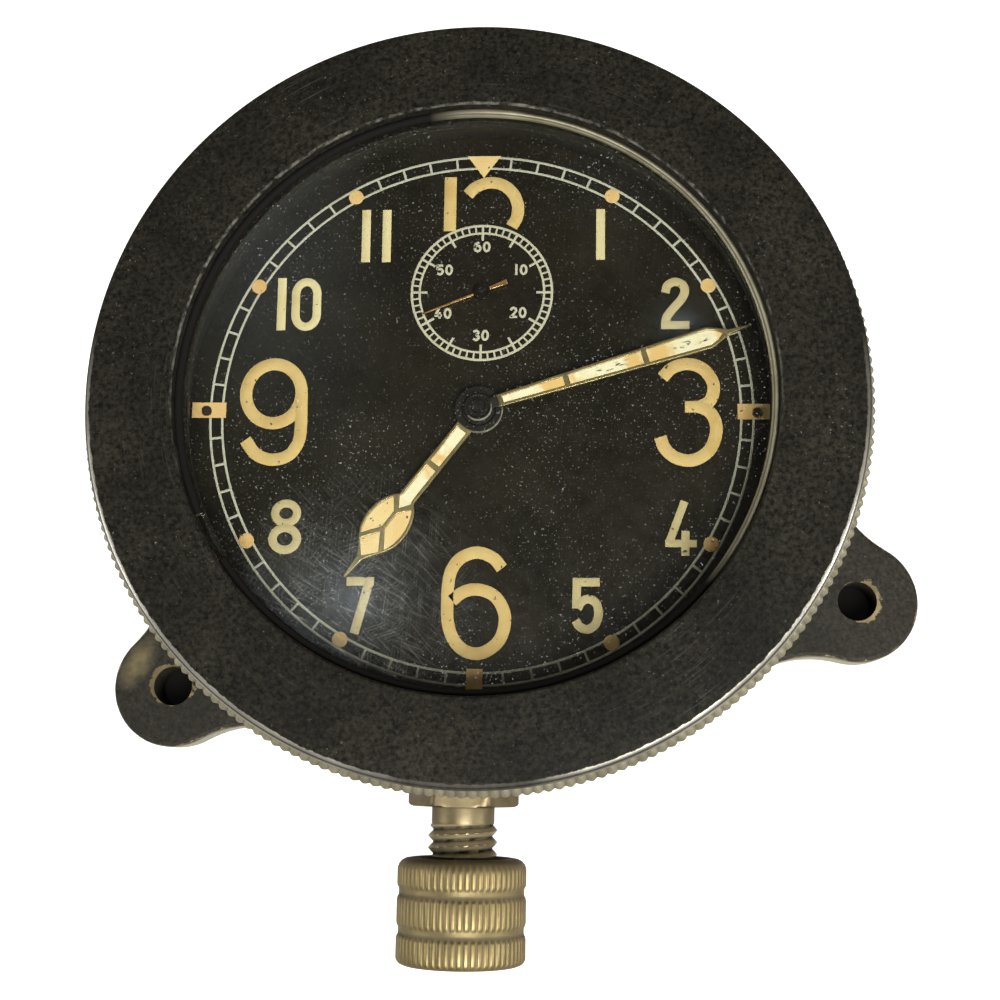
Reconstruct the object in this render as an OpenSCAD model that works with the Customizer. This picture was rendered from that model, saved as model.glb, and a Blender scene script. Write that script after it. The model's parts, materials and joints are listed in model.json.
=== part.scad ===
// Aircraft dashboard clock with a hand-wound lever movement, in millimetres.
// Z is the dial axis, z = 0 is the mounting plane and 12 o'clock is +Y.

/* [Movement size] */
// Radius of the two movement plates
plate_r = 27; // [26.5:0.1:34]
// Thickness of the back plate
back_plate_t = 1.6; // [1.2:0.1:2.4]
// Height of the pillars between the plates
pillar_h = 9.2; // [9.2:0.1:12]
// Thickness of the front plate
front_plate_t = 1.8; // [1.4:0.1:2.6]
// Room behind the back plate for the balance
balance_room = 4.7; // [4.6:0.1:7]
// Room between the front plate and the dial for the hour and minute wheels
motion_room = 2.9; // [2.8:0.1:4]

/* [Case] */
// Thickness of the case floor
floor_t = 2.5; // [1.5:0.1:4]
// Width of the movement ring's dial seat
ring_w = 5.3; // [4.5:0.1:7]
// Width of the movement ring's flange outside the dial seat
flange_w = 3.6; // [3.2:0.1:5]
// Wall of the neck that the bezel screws on
neck_wall = 1.25; // [0.9:0.05:2]
// Step from the neck out to the case wall
neck_step = 1; // [0.6:0.1:2]
// Width of the base flange outside the case wall
base_w = 1.9; // [1:0.1:4]
// Thickness of the base flange and the lugs
base_t = 4.5; // [3:0.1:6]

/* [Lugs] */
// Number of mounting lugs
lug_count = 3; // [3:1:4]
// Angle of the first lug, counter-clockwise from 3 o'clock
lug_turn = 97.7; // [0:0.1:120]
// Distance from the base flange's edge out to a lug hole
lug_reach = 6.3; // [5:0.1:8]
// Radius of a lug's round end
lug_r = 7.1; // [5:0.1:8]
// Radius of the hollow curves where a lug meets the flange
lug_fillet_r = 13; // [6:0.5:16]
// Radius of a lug hole
lug_hole_r = 2.2; // [1.6:0.1:3]

/* [Bezel and glass] */
// Height of the bezel's rim above its seat on the case
bezel_h = 5; // [4.4:0.1:7]
// Height of the knurled band
knurl_h = 3; // [2:0.1:3.4]
// Number of knurls around the bezel
knurl_count = 236; // [120:2:280]
// Height of a knurl
knurl_d = 0.3; // [0.1:0.05:0.6]
// How far the knurled band stands out from the black face
knurl_out = 0.95; // [0.8:0.05:2.5]
// How far the black face stands out from the case wall
face_out = 1.35; // [0.4:0.05:2]
// Rounding of the black face's outer edge
face_round = 0.6; // [0.2:0.1:1]
// Depth of the dial below the bezel's face
dial_depth = 9.9; // [9:0.1:14]
// Thickness of the glass
glass_t = 2; // [1:0.1:2.6]
// Depth of the glass below the bezel's face
glass_depth = 2.3; // [2:0.1:3]
// Wire radius of the ring that holds the glass
wire_r = 0.45; // [0.3:0.05:0.6]

/* [Dial and hands] */
// Thickness of the dial
dial_t = 0.6; // [0.4:0.1:1]
// How far the dial's edge lies under the bezel
dial_lap = 1.65; // [1.2:0.05:3]
// Length of the hour hand
hour_l = 22.8; // [21.5:0.1:26]
// Length of the minute hand
minute_l = 30.3; // [29:0.1:30.4]
// Length of the seconds hand
seconds_l = 6.9; // [5:0.1:7.4]
// Clockwise angle of the hour hand from 12 o'clock
hour_at = 217.3; // [0:0.1:360]
// Clockwise angle of the minute hand from 12 o'clock
minute_at = 72.6; // [0:0.1:360]
// Clockwise angle of the seconds hand from 12 o'clock
seconds_at = 248; // [0:0.1:360]
// Thickness of the hour and minute hands
hand_t = 0.4; // [0.2:0.05:0.6]

/* [Winding stem] */
// Sideways offset of the stem from the dial's 6 o'clock line
stem_x = -1.6; // [-3:0.1:0]
// Height of the stem above the back plate
stem_rise = 4.6; // [4.6:0.1:5]
// Radius of the stem
stem_r = 1.4; // [1.2:0.05:1.6]
// Width of the hexagon collar across its flats
collar_af = 10.5; // [8:0.1:12]
// Length of the hexagon collar
collar_l = 2.3; // [1.5:0.1:4]
// Radius of the plain neck outside the collar
tube_neck_r = 3.4; // [2.6:0.1:3.6]
// Length of the plain neck
tube_neck_l = 2.1; // [1:0.1:4]
// Outer radius of the tube's threaded end
tube_thread_r = 3.75; // [3.4:0.05:4]
// Radius of the winding knob
knob_r = 6.95; // [5.5:0.05:9]
// Length of one knurled band of the knob
knob_band_l = 3; // [2.8:0.1:5]
// Width of a groove between two bands
knob_groove_w = 1; // [0.6:0.1:1.6]
// Number of flutes around the knob
knob_flutes = 60; // [40:2:80]
// Length of thread showing between the neck and the knob
knob_stand = 3.3; // [2:0.1:3.8]
// How far the stem pulls out to set the hands
stem_pull = 1.8; // [1:0.1:2]

/* [Going train] */
// Distance from the centre wheel up to the seconds axis
seconds_y = 13.5; // [13:0.1:14]
// Direction of the barrel from the centre
barrel_turn = 200; // [195:1:203]
// Direction of the escape wheel from the seconds axis
escape_turn = 20; // [16:1:24]
// Direction of the pallets and the balance from the escape wheel
balance_turn = -40; // [-42:1:-36]
// Outer radius of the balance rim
balance_r = 7.5; // [6:0.1:7.6]

/* [Fits] */
// Gap around a turning pivot or pipe
run_gap = 0.05; // [0.02:0.01:0.1]
// Gap around a piece that is pressed or screwed in place
seat_gap = 0.02; // [0.01:0.01:0.05]
// Gap along an arbor before its shoulder meets a plate
end_shake = 0.15; // [0.05:0.05:0.3]
// Gap around a loose piece in its housing
loose_gap = 0.2; // [0.1:0.05:0.4]
// Room between the tube's thread and the knob's bore, where the knob's own thread is left off
thread_room = 0.6; // [0.4:0.05:0.8]

/* [Hidden] */
$fn = 64;
cut = 0.5;

// Tooth counts, the wheel first and then the pinion that meshes with it
barrel_teeth = [84, 12];
centre_teeth = [64, 8];
third_teeth = [60, 8];
fourth_teeth = [70, 7];
minute_teeth = [36, 12];
hour_teeth = [40, 10];
ratchet_teeth = [42, 30];
winding_teeth = [24, 12];
escape_teeth = 15;
setting_leaves = 10;
setting_face_teeth = 16;

// Screws: head radius, head height and shank radius
dial_screw_size = [0.55, 0.25, 0.4];
ring_screw_size = [1.2, 0.9, 0.6];
movement_screw_size = [0.8, 0.6, 0.5];
pillar_screw_size = [1.5, 0.8, 0.8];
bridge_screw_size = [0.8, 0.5, 0.5];
cock_screw_size = [1.1, 0.8, 0.6];
crown_screw_size = [1.9, 0.6, 0.7];
click_screw_size = [0.9, 0.4, 0.3];
screw_hole_l = 3.2;
screw_spare = 0.4;

// Heights, from the mounting plane up
back_z = floor_t + balance_room;
back_top = back_z + back_plate_t;
front_z = back_top + pillar_h;
front_top = front_z + front_plate_t;
dial_z = front_top + motion_room;
dial_top = dial_z + dial_t;
face_z = dial_top + dial_depth;
glass_top = face_z - glass_depth;
glass_z = glass_top - glass_t;
seat_z = face_z - bezel_h;
knurl_z = seat_z;
face_t = face_z - seat_z - knurl_h;
neck_top = face_z - face_t - 2 * loose_gap;

// Radii, from the plates out
plate_gap = 0.15;
pot_gap = 1.35;
ring_bore = plate_r + plate_gap;
ring_r = ring_bore + ring_w;
dial_r = ring_r;
window_r = dial_r - dial_lap;
foot_t = 0.9;
foot_r = dial_r + foot_t;
pot_r = ring_r + pot_gap;
flange_r = ring_r + flange_w;
bore_r = flange_r + loose_gap;
neck_r = bore_r + neck_wall;
case_r = neck_r + neck_step;
bezel_r = case_r + face_out;
knurl_r = bezel_r + knurl_out;
base_r = case_r + base_w;
lug_pcd_r = base_r + lug_reach;

// Movement ring: a lip under the front plate and a flange on the case ledge
lip_t = 1.6;
lip_w = 2;
lip_lap = 1;
ledge_drop = 0.5;
ledge_z = front_z - ledge_drop;
flange_t = 3;
ring_screw_r = (foot_r + flange_r) / 2;
ring_screw_turn = 60;
movement_screw_r = plate_r - movement_screw_size[0] - 0.1;
dial_screw_r = window_r - 1.14;
dial_screw_l = 1.4;

// Hand heights above the dial
seconds_rise = 0.25;
hour_rise = 0.9;
hands_gap = 0.6;
seconds_z = dial_top + seconds_rise;
hour_z = dial_top + hour_rise;
minute_z = hour_z + hand_t + hands_gap;

// Pipes around the centre arbor
post_r = 0.7;
cannon_r = 1.15;
hour_pipe_r = 1.75;
dial_hole_gap = 0.45;
dial_hole_r = hour_pipe_r + dial_hole_gap;
seconds_pivot_r = 0.3;

// Arbors, pivots and studs
pivot_r = 0.3;
arbor_r = 0.45;
lever_arbor_r = 0.4;
barrel_pivot_r = 1.2;
barrel_shoulder_r = 1.5;
barrel_hub_r = 2.9;
barrel_square = 2.4;
centre_arbor_r = 1;
centre_foot_r = 0.8;
centre_collar_r = 1.2;
crown_post_r = 1.3;
motion_stud_r = 0.6;
setting_shoulder_r = 1.2;
pivot_sink = 0.3;
leaf_lap = 0.1;

// Tooth forms: addendum and dedendum in modules, then tooth width at pitch, tip and root in pitches
wheel_form = [1, 1.5, 0.42, 0.16, 0.5];
leaf_form = [0.75, 1.55, 0.36, 0.2, 0.34];
ratchet_form = [0.8, 1.4, 0.4, 0.16, 0.5];

// Tooth modules
barrel_m = 0.26;
centre_m = 0.25;
third_m = 0.22;
fourth_m = 0.18;
minute_m = 0.25;
ratchet_m = 0.4;
setting_m = minute_m;

function polar(r, a) = [r * cos(a), r * sin(a)];
function angle_to(p, q) = atan2(q[1] - p[1], q[0] - p[0]);
function pitch_r(n, m) = n * m / 2;
function tip_r(n, m, form) = pitch_r(n, m) + form[0] * m;
function root_r(n, m, form) = pitch_r(n, m) - form[1] * m;
// Point at distance a from p and b from q, to the left or right of the line from p to q
function meet(p, a, q, b, side) =
    let (d = norm(q - p), c = acos((a * a + d * d - b * b) / (2 * a * d)))
    p + polar(a, angle_to(p, q) + side * c);
// Angle of a pinion's leaf when a wheel with a tooth at angle at drives it in the direction dir
function mesh_at(dir, at, teeth, leaves) = dir + 180 + 180 / leaves - (at - dir) * teeth / leaves;
function tooth_points(n, m, form, at) = [
    for (i = [0:n - 1])
        for (s = [[-form[4], root_r(n, m, form)], [-form[2], pitch_r(n, m)], [-form[3], tip_r(n, m, form)],
                  [form[3], tip_r(n, m, form)], [form[2], pitch_r(n, m)], [form[4], root_r(n, m, form)]])
            polar(s[1], at + (i + s[0] / 2) * 360 / n)];
function flute_points(n, root, crest) = [
    for (i = [0:n - 1])
        for (s = [[-0.34, root], [-0.18, crest], [0.18, crest], [0.34, root]])
            polar(s[1], (i + s[0]) * 360 / n)];
function bow(p, q, r, s, steps) = [
    for (i = [0:steps])
        let (t = i / steps, u = 1 - t) u * u * u * p + 3 * u * u * t * q + 3 * u * t * t * r + t * t * t * s];
function arc(c, r, from, to, steps) = [for (i = [0:steps]) c + polar(r, from + (to - from) * i / steps)];
function mirrored(points) = [for (i = [len(points) - 1:-1:0]) [-points[i][0], points[i][1]]];
function spiral(from, to, turns, t, start) =
    let (n = turns * 16)
    concat([for (i = [0:n]) polar(from + (to - from) * i / n, start + i * 22.5)],
           [for (i = [n:-1:0]) polar(from + t + (to - from) * i / n, start + i * 22.5)]);

// Places of the arbors
centre_at = [0, 0];
fourth_at = [0, seconds_y];
barrel_d = pitch_r(barrel_teeth[0], barrel_m) + pitch_r(barrel_teeth[1], barrel_m);
barrel_at = polar(barrel_d, barrel_turn);
third_at = meet(centre_at, pitch_r(centre_teeth[0], centre_m) + pitch_r(centre_teeth[1], centre_m),
                fourth_at, pitch_r(third_teeth[0], third_m) + pitch_r(third_teeth[1], third_m), -1);
escape_d = pitch_r(fourth_teeth[0], fourth_m) + pitch_r(fourth_teeth[1], fourth_m);
escape_at = fourth_at + polar(escape_d, escape_turn);
escape_r = 4.4;
pallet_span = 30;
pallet_d = escape_r / cos(pallet_span);
pallet_at = escape_at + polar(pallet_d, balance_turn);
fork_d = 6;
balance_at = pallet_at + polar(fork_d, balance_turn);
ratchet_r = pitch_r(ratchet_teeth[0], ratchet_m);
crown_r = pitch_r(ratchet_teeth[1], ratchet_m);
crown_dx = stem_x - barrel_at[0];
crown_at = [stem_x, barrel_at[1] - sqrt(pow(ratchet_r + crown_r, 2) - crown_dx * crown_dx)];
minute_d = pitch_r(minute_teeth[0], minute_m) + pitch_r(minute_teeth[1], minute_m);
hour_m = 2 * minute_d / (hour_teeth[0] + hour_teeth[1]);
motion_rise = 0.3;
motion_t = 0.7;
motion_step = 1;
motion_z = front_top + motion_rise;
pipe_out = 0.15;
setting_d = 11.55;
setting_at = [stem_x, -setting_d];
minute_wheel_at = meet(centre_at, minute_d, setting_at,
                       pitch_r(minute_teeth[0], minute_m) + pitch_r(setting_leaves, setting_m), 1);
pillar_r = 1.8;
pillar_inset = 3.8;
pillar_turns = [40, 130, 245, 320];
pillar_places = [for (a = pillar_turns) polar(plate_r - pillar_inset, a)];

// Ratchet wheel, at the back plate
ratchet_rise = 0.3;
ratchet_z = back_top + ratchet_rise;
ratchet_t = 1.2;
crown_screw_sink = 1;

// Winding gear: face teeth on the crown wheel, a pinion above them on the stem
stem_z = back_top + stem_rise;
winding_r = 2.5;
winding_face_r = winding_r * winding_teeth[0] / winding_teeth[1];
winding_m = 2 * winding_r / winding_teeth[1];
winding_l = 2;
winding_d = winding_face_r - crown_at[1];
crown_top = ratchet_z + ratchet_t - leaf_lap;
face_tooth_mesh = 0.8;
face_tooth_top = stem_z - winding_r + face_tooth_mesh * winding_m;
stem_square = 1.7;
stem_inner_r = 0.8;
square_d = winding_d + winding_l / 2 - stem_pull;
setting_pinion_r = 1.3;
setting_pinion_l = 0.9;
setting_face_r = 2.3;
setting_tooth_l = 0.7;
setting_tooth_w = 0.4;
stem_inner_d = setting_d + setting_face_r - setting_tooth_l - leaf_lap - stem_pull;
bridge_gap = 0.6;
bridge_d = winding_d + winding_l / 2 + bridge_gap;
bridge_l = 1.5;
bridge_foot_t = 1;
bridge_screw_x = 3.3;
detent_d = 24.5;
detent_groove_l = 1.2;
detent_groove_r = 1;

// Heights of the wheels between the plates
barrel_z = face_tooth_top + loose_gap;
barrel_gear_t = 1.4;
barrel_h = 4.9;
barrel_step = 0.4;
barrel_drum_r = root_r(barrel_teeth[0], barrel_m, wheel_form) - barrel_step;
barrel_wall = 0.9;
barrel_room_r = barrel_drum_r - barrel_wall;
cover_seat_r = barrel_room_r + 0.4;
cover_t = 0.6;
centre_gap = 0.6;
third_rise = 2.9;
fourth_rise = 0.5;
escape_rise = 0.7;
centre_z = barrel_z + barrel_h + centre_gap;
third_z = barrel_z + third_rise;
fourth_z = barrel_z + fourth_rise;
escape_z = back_top + escape_rise;
wheel_t = 0.8;
lever_t = 0.6;

// Places along the stem, measured out from the dial axis: the knob is drawn unscrewed, clear of the thread
knob_mouth_gap = 0.1;
boss_out = 0.9;
boss_d = case_r + boss_out;
boss_r = 6.4;
boss_root_d = bore_r + neck_wall / 3;
collar_d = boss_d + collar_l;
tube_neck_d = collar_d + tube_neck_l;
tube_bore_r = stem_r + run_gap;
tube_shank_r = 2.8;
tube_shank_d = pot_r + 0.4;
knob_d = tube_neck_d + knob_stand;
tube_end_d = knob_d - knob_mouth_gap;
knob_l = 3 * knob_band_l + 2 * knob_groove_w;
knob_bore_r = tube_thread_r + thread_room;
knob_bore_l = knob_stand + 4 * loose_gap;
stem_grip_l = 1.6;
stem_end_d = knob_d + knob_bore_l + stem_grip_l;
knob_socket_l = knob_bore_l + stem_grip_l + knob_stand + 2 * loose_gap;

// Balance, from the cock at the back up
cock_t = 0.9;
cock_rise = 0.35;
cock_z = floor_t + cock_rise;
rim_gap = 0.4;
rim_z = cock_z + cock_t + rim_gap;
rim_t = 1;
rim_w = 1;
hairspring_gap = 0.5;
hairspring_z = rim_z + rim_t + hairspring_gap;
hairspring_h = 0.6;
hairspring_r = 4.6;
collet_r = 1;
staff_r = 0.5;
roller_r = 1.5;
jewel_r = 0.9;
cock_head_r = 2;
cock_foot_r = 2;
cock_foot_gap = 0.4;
cock_foot_d = balance_r + cock_foot_r + cock_foot_gap;
cock_turn = -60;
cock_foot_at = balance_at + polar(cock_foot_d, cock_turn);
cock_sink = 0.9;

// Train angles: each pair is set with a tooth of the wheel in a gap of its pinion
barrel_phase = angle_to(barrel_at, centre_at);
centre_phase = angle_to(centre_at, third_at);
third_phase = angle_to(third_at, fourth_at);
fourth_phase = angle_to(fourth_at, escape_at);
minute_phase = angle_to(minute_wheel_at, centre_at);
hour_phase = angle_to(centre_at, minute_wheel_at);
ratchet_phase = angle_to(barrel_at, crown_at);

// Click on the ratchet wheel
click_pivot_turn = 130;
click_nose_turn = 115;
ratchet_tip_r = tip_r(ratchet_teeth[0], ratchet_m, ratchet_form);
click_out = 2.6;
click_clear = 0.15;
click_at = barrel_at + polar(ratchet_tip_r + click_out, click_pivot_turn);
click_nose_at = barrel_at + polar(ratchet_tip_r + click_clear, click_nose_turn);
click_r = 1.1;
click_t = ratchet_t - loose_gap;
click_stud_r = 0.6;
click_stud_h = ratchet_t + 2 * loose_gap;

// A solid set down at a place on the plates and a height
module at(place, z) {
    translate([place[0], place[1], z])
        children();
}

// A solid whose own axis runs out along the stem, from a distance from the dial axis
module along_stem(d) {
    translate([stem_x, -d, stem_z])
        rotate([90, 0, 0])
            children();
}

// Toothed disc
module gear(n, m, form, at, t) {
    linear_extrude(t)
        polygon(tooth_points(n, m, form, at));
}

// Openings that leave arms between a wheel's hub and rim
module crossings(hub_r, rim_r, arms, arm_w, t) {
    translate([0, 0, -cut])
        difference() {
            cylinder(r = rim_r, h = t + 2 * cut);
            cylinder(r = hub_r, h = t + 2 * cut);
            for (i = [0:arms - 1])
                rotate(i * 360 / arms)
                    translate([0, -arm_w / 2, 0])
                        cube([rim_r + cut, arm_w, t + 2 * cut]);
        }
}

// Train wheel with crossed-out arms
module train_wheel(n, m, at) {
    rim = 0.6;
    hub_r = 1.9;
    arms = 4;
    arm_w = 0.9;
    difference() {
        gear(n, m, wheel_form, at, wheel_t);
        crossings(hub_r, root_r(n, m, wheel_form) - rim, arms, arm_w, wheel_t);
    }
}

// Pinion as high as the wheel it meshes with, and a little more at both ends, at the height of that wheel
module pinion(teeth, m, phase, z, t) {
    translate([0, 0, z - leaf_lap])
        gear(teeth[1], m, leaf_form, mesh_at(phase, phase, teeth[0], teeth[1]), t + 2 * leaf_lap);
}

// Arbor between the plates with a pivot in each
module arbor(r) {
    translate([0, 0, back_top + end_shake])
        cylinder(r = r, h = pillar_h - 2 * end_shake);
    translate([0, 0, back_z + back_plate_t / 4])
        cylinder(r = pivot_r, h = front_top - back_z - back_plate_t / 2);
}

// Slotted screw, head up from z = 0 and shank down
module screw(size, l) {
    head_r = size[0];
    head_h = size[1];
    slot_w = head_r * 2 / 7;
    difference() {
        union() {
            cylinder(r = head_r, h = head_h);
            translate([0, 0, -l])
                cylinder(r = size[2], h = l);
        }
        translate([-head_r - cut, -slot_w / 2, head_h / 2])
            cube([2 * head_r + 2 * cut, slot_w, head_h]);
    }
}

// Hole that a screw's shank goes into
module screw_hole(size, h) {
    cylinder(r = size[2] + seat_gap, h = h);
}

// Hole right through a plate of thickness t, whose lower face is at height z
module through(z, t, r) {
    translate([0, 0, z - cut])
        cylinder(r = r, h = t + 2 * cut);
}

// Lug outline: a round end joined to the base flange by two hollow curves
module lug_outline() {
    tuck = 0.05;
    a = base_r + lug_fillet_r - tuck;
    b = lug_r + lug_fillet_r - tuck;
    end = [lug_pcd_r, 0];
    hollows = [for (side = [-1, 1]) meet([0, 0], a, end, b, side)];
    translate(end)
        circle(r = lug_r);
    difference() {
        polygon([[0, 0], hollows[0], end, hollows[1]]);
        for (h = hollows)
            translate(h)
                circle(r = lug_fillet_r);
    }
}

module case() {
    color("#1d1c1b")
        difference() {
            union() {
                linear_extrude(base_t)
                    union() {
                        circle(r = base_r);
                        for (i = [0:lug_count - 1])
                            rotate(lug_turn + i * 360 / lug_count)
                                lug_outline();
                    }
                cylinder(r = case_r, h = seat_z);
                cylinder(r = neck_r, h = neck_top);
                along_stem(boss_root_d)
                    cylinder(r = boss_r, h = boss_d - boss_root_d);
            }
            translate([0, 0, floor_t])
                cylinder(r = pot_r, h = neck_top);
            translate([0, 0, ledge_z])
                cylinder(r = bore_r, h = neck_top);
            for (i = [0:lug_count - 1])
                at(polar(lug_pcd_r, lug_turn + i * 360 / lug_count), 0)
                    through(0, base_t, lug_hole_r);
            along_stem(pot_r - 2 * cut)
                cylinder(r = tube_shank_r + seat_gap, h = boss_d - pot_r + 3 * cut);
            ring_screw_holes(ledge_z - screw_hole_l, screw_hole_l + cut);
        }
}

module ring_screw_holes(z, h) {
    for (i = [0:2])
        at(polar(ring_screw_r, ring_screw_turn + i * 120), z)
            screw_hole(ring_screw_size, h);
}

module bezel() {
    step_w = 0.3;
    chamfer = 0.2;
    overlap = 0.4;
    root = knurl_r - knurl_d;
    core_r = root - overlap;
    lap_r = window_r - 0.6;
    foot_in_r = dial_r - 0.95;
    foot_z = dial_top + run_gap;
    thread_r = neck_r + run_gap;
    thread_top = neck_top + loose_gap;
    wire_top = glass_top + 2 * wire_r + 2 * run_gap;
    wire_out = 0.25;
    outer = concat([[thread_r, seat_z], [core_r, seat_z], [core_r, seat_z + knurl_h],
                    [bezel_r - step_w, seat_z + knurl_h], [bezel_r, seat_z + knurl_h + step_w]],
                   arc([bezel_r - face_round, face_z - face_round], face_round, 0, 90, 4));
    inner = [[window_r + chamfer, face_z], [window_r, face_z - chamfer], [window_r, wire_top],
             [window_r + wire_out, wire_top], [window_r + wire_out, glass_top], [window_r, glass_top],
             [window_r, glass_z], [lap_r, glass_z], [foot_in_r, foot_z],
             [foot_r, foot_z], [foot_r, thread_top], [thread_r, thread_top]];
    color("#262625") {
        rotate_extrude()
            polygon(concat(outer, inner));
        translate([0, 0, knurl_z])
            linear_extrude(knurl_h)
                difference() {
                    polygon(flute_points(knurl_count, root, knurl_r));
                    circle(r = core_r - overlap);
                }
    }
}

module glass() {
    edge = 0.25;
    glass_gap = 0.1;
    r = window_r - glass_gap;
    color("#dfe6e4", 0.3)
        rotate_extrude()
            polygon([[0, glass_z], [r - edge, glass_z], [r, glass_z + edge], [r, glass_top - edge],
                     [r - edge, glass_top], [0, glass_top]]);
}

module glass_ring() {
    gap = 10;
    gap_at = 210;
    wire_in = 0.2;
    color("#c9b073")
        translate([0, 0, glass_top + wire_r + run_gap])
            rotate(gap_at + gap / 2)
                rotate_extrude(angle = 360 - gap)
                    translate([window_r + wire_in - wire_r, 0])
                        circle(r = wire_r);
}

module dial() {
    color("#191817")
        translate([0, 0, dial_z])
            difference() {
                cylinder(r = dial_r, h = dial_t);
                through(0, dial_t, dial_hole_r);
                at(fourth_at, 0)
                    through(0, dial_t, 2 * seconds_pivot_r);
                for (side = [-1, 1])
                    at([side * dial_screw_r, 0], -cut)
                        screw_hole(dial_screw_size, dial_t + 2 * cut);
            }
}

module dial_screws() {
    color("#2a2622")
        for (side = [-1, 1])
            at([side * dial_screw_r, 0], dial_top)
                screw(dial_screw_size, dial_t + dial_screw_l);
}

module movement_ring() {
    color("#b08d57")
        difference() {
            rotate_extrude()
                polygon([[ring_bore - lip_w, front_z - lip_t], [ring_r + lip_lap, front_z - lip_t],
                         [ring_r + lip_lap, ledge_z], [flange_r, ledge_z], [flange_r, ledge_z + flange_t],
                         [ring_r, ledge_z + flange_t], [ring_r, dial_z], [ring_bore, dial_z],
                         [ring_bore, front_z], [ring_bore - lip_w, front_z]]);
            for (side = [-1, 1])
                at([side * dial_screw_r, 0], dial_z - dial_screw_l - screw_spare)
                    screw_hole(dial_screw_size, dial_screw_l + screw_spare + cut);
            movement_screw_holes(front_z - lip_t - cut, lip_t + 2 * cut);
            ring_screw_holes(ledge_z - cut, flange_t + 2 * cut);
        }
}

module ring_screws() {
    color("#4a5058")
        for (i = [0:2])
            at(polar(ring_screw_r, ring_screw_turn + i * 120), ledge_z + flange_t)
                screw(ring_screw_size, flange_t + screw_hole_l - screw_spare);
}

module movement_screw_holes(z, h) {
    for (i = [0:2])
        at(polar(movement_screw_r, 90 + i * 120), z)
            screw_hole(movement_screw_size, h);
}

module movement_screws() {
    color("#4a5058")
        for (i = [0:2])
            at(polar(movement_screw_r, 90 + i * 120), front_top)
                screw(movement_screw_size, front_plate_t + lip_t - screw_spare / 2);
}

// Holes for the pivots of the arbors that run between the two plates
module pivot_holes(z, t) {
    for (p = [third_at, fourth_at, escape_at, pallet_at])
        at(p, 0)
            through(z, t, pivot_r + run_gap);
    at(barrel_at, 0)
        through(z, t, barrel_pivot_r + run_gap);
}

module front_plate() {
    color("#c2a15e")
        difference() {
            union() {
                translate([0, 0, front_z])
                    cylinder(r = plate_r, h = front_plate_t);
                at(minute_wheel_at, front_top)
                    cylinder(r = motion_stud_r, h = motion_room - 3 * loose_gap);
            }
            pivot_holes(front_z, front_plate_t);
            at(balance_at, 0)
                through(front_z, front_plate_t, pivot_r + run_gap);
            through(front_z, front_plate_t, centre_collar_r + run_gap);
            at(setting_at, 0)
                through(front_z, front_plate_t, motion_stud_r + run_gap);
            for (p = pillar_places)
                at(p, 0)
                    through(front_z, front_plate_t, pillar_r / 2 + seat_gap);
            movement_screw_holes(front_z - cut, front_plate_t + 2 * cut);
            bridge_screw_places()
                translate([0, 0, front_z - cut])
                    screw_hole(bridge_screw_size, front_plate_t + 2 * cut);
        }
}

module back_plate() {
    color("#c2a15e")
        difference() {
            union() {
                translate([0, 0, back_z])
                    cylinder(r = plate_r, h = back_plate_t);
                at(crown_at, back_top)
                    cylinder(r = crown_post_r, h = crown_top - back_top + loose_gap);
                at(click_at, back_top)
                    cylinder(r = click_stud_r, h = click_stud_h);
            }
            pivot_holes(back_z, back_plate_t);
            through(back_z, back_plate_t, centre_foot_r + run_gap);
            at(balance_at, 0)
                through(back_z, back_plate_t, roller_r + cut);
            for (p = pillar_places)
                at(p, back_z - cut)
                    screw_hole(pillar_screw_size, back_plate_t + 2 * cut);
            at(cock_foot_at, back_z - cut)
                screw_hole(cock_screw_size, back_plate_t + 2 * cut);
            at(crown_at, back_top - crown_screw_sink)
                screw_hole(crown_screw_size, crown_top);
            at(click_at, back_top)
                screw_hole(click_screw_size, 2 * ratchet_t);
        }
}

module pillars() {
    color("#b8954f")
        for (p = pillar_places)
            at(p, back_top)
                difference() {
                    union() {
                        cylinder(r = pillar_r, h = pillar_h);
                        cylinder(r = pillar_r / 2, h = pillar_h + front_plate_t);
                    }
                    translate([0, 0, -cut])
                        screw_hole(pillar_screw_size, screw_hole_l + cut);
                }
}

module pillar_screws() {
    color("#4a5058")
        for (p = pillar_places)
            at(p, back_z)
                mirror([0, 0, 1])
                    screw(pillar_screw_size, back_plate_t + screw_hole_l - screw_spare);
}

module stem_tube() {
    chamfer = 0.5;
    corner_r = collar_af / sqrt(3);
    color("#8c7f56")
        difference() {
            union() {
                along_stem(tube_shank_d)
                    cylinder(r = tube_shank_r, h = boss_d - tube_shank_d + cut);
                intersection() {
                    along_stem(boss_d)
                        cylinder(r = corner_r, h = collar_l, $fn = 6);
                    along_stem(boss_d)
                        rotate_extrude()
                            polygon([[0, 0], [corner_r, 0], [corner_r, collar_l - chamfer],
                                     [corner_r - chamfer, collar_l], [0, collar_l]]);
                }
                along_stem(collar_d - cut)
                    cylinder(r = tube_neck_r, h = tube_neck_l + cut);
                along_stem(tube_neck_d)
                    cylinder(r = tube_thread_r, h = tube_end_d - tube_neck_d);
            }
            along_stem(pot_r - cut)
                cylinder(r = tube_bore_r, h = tube_end_d - pot_r + 2 * cut);
        }
}

module bridge_screw_places() {
    for (side = [-1, 1])
        translate([stem_x + side * bridge_screw_x, -bridge_d - bridge_l / 2, 0])
            children();
}

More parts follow.
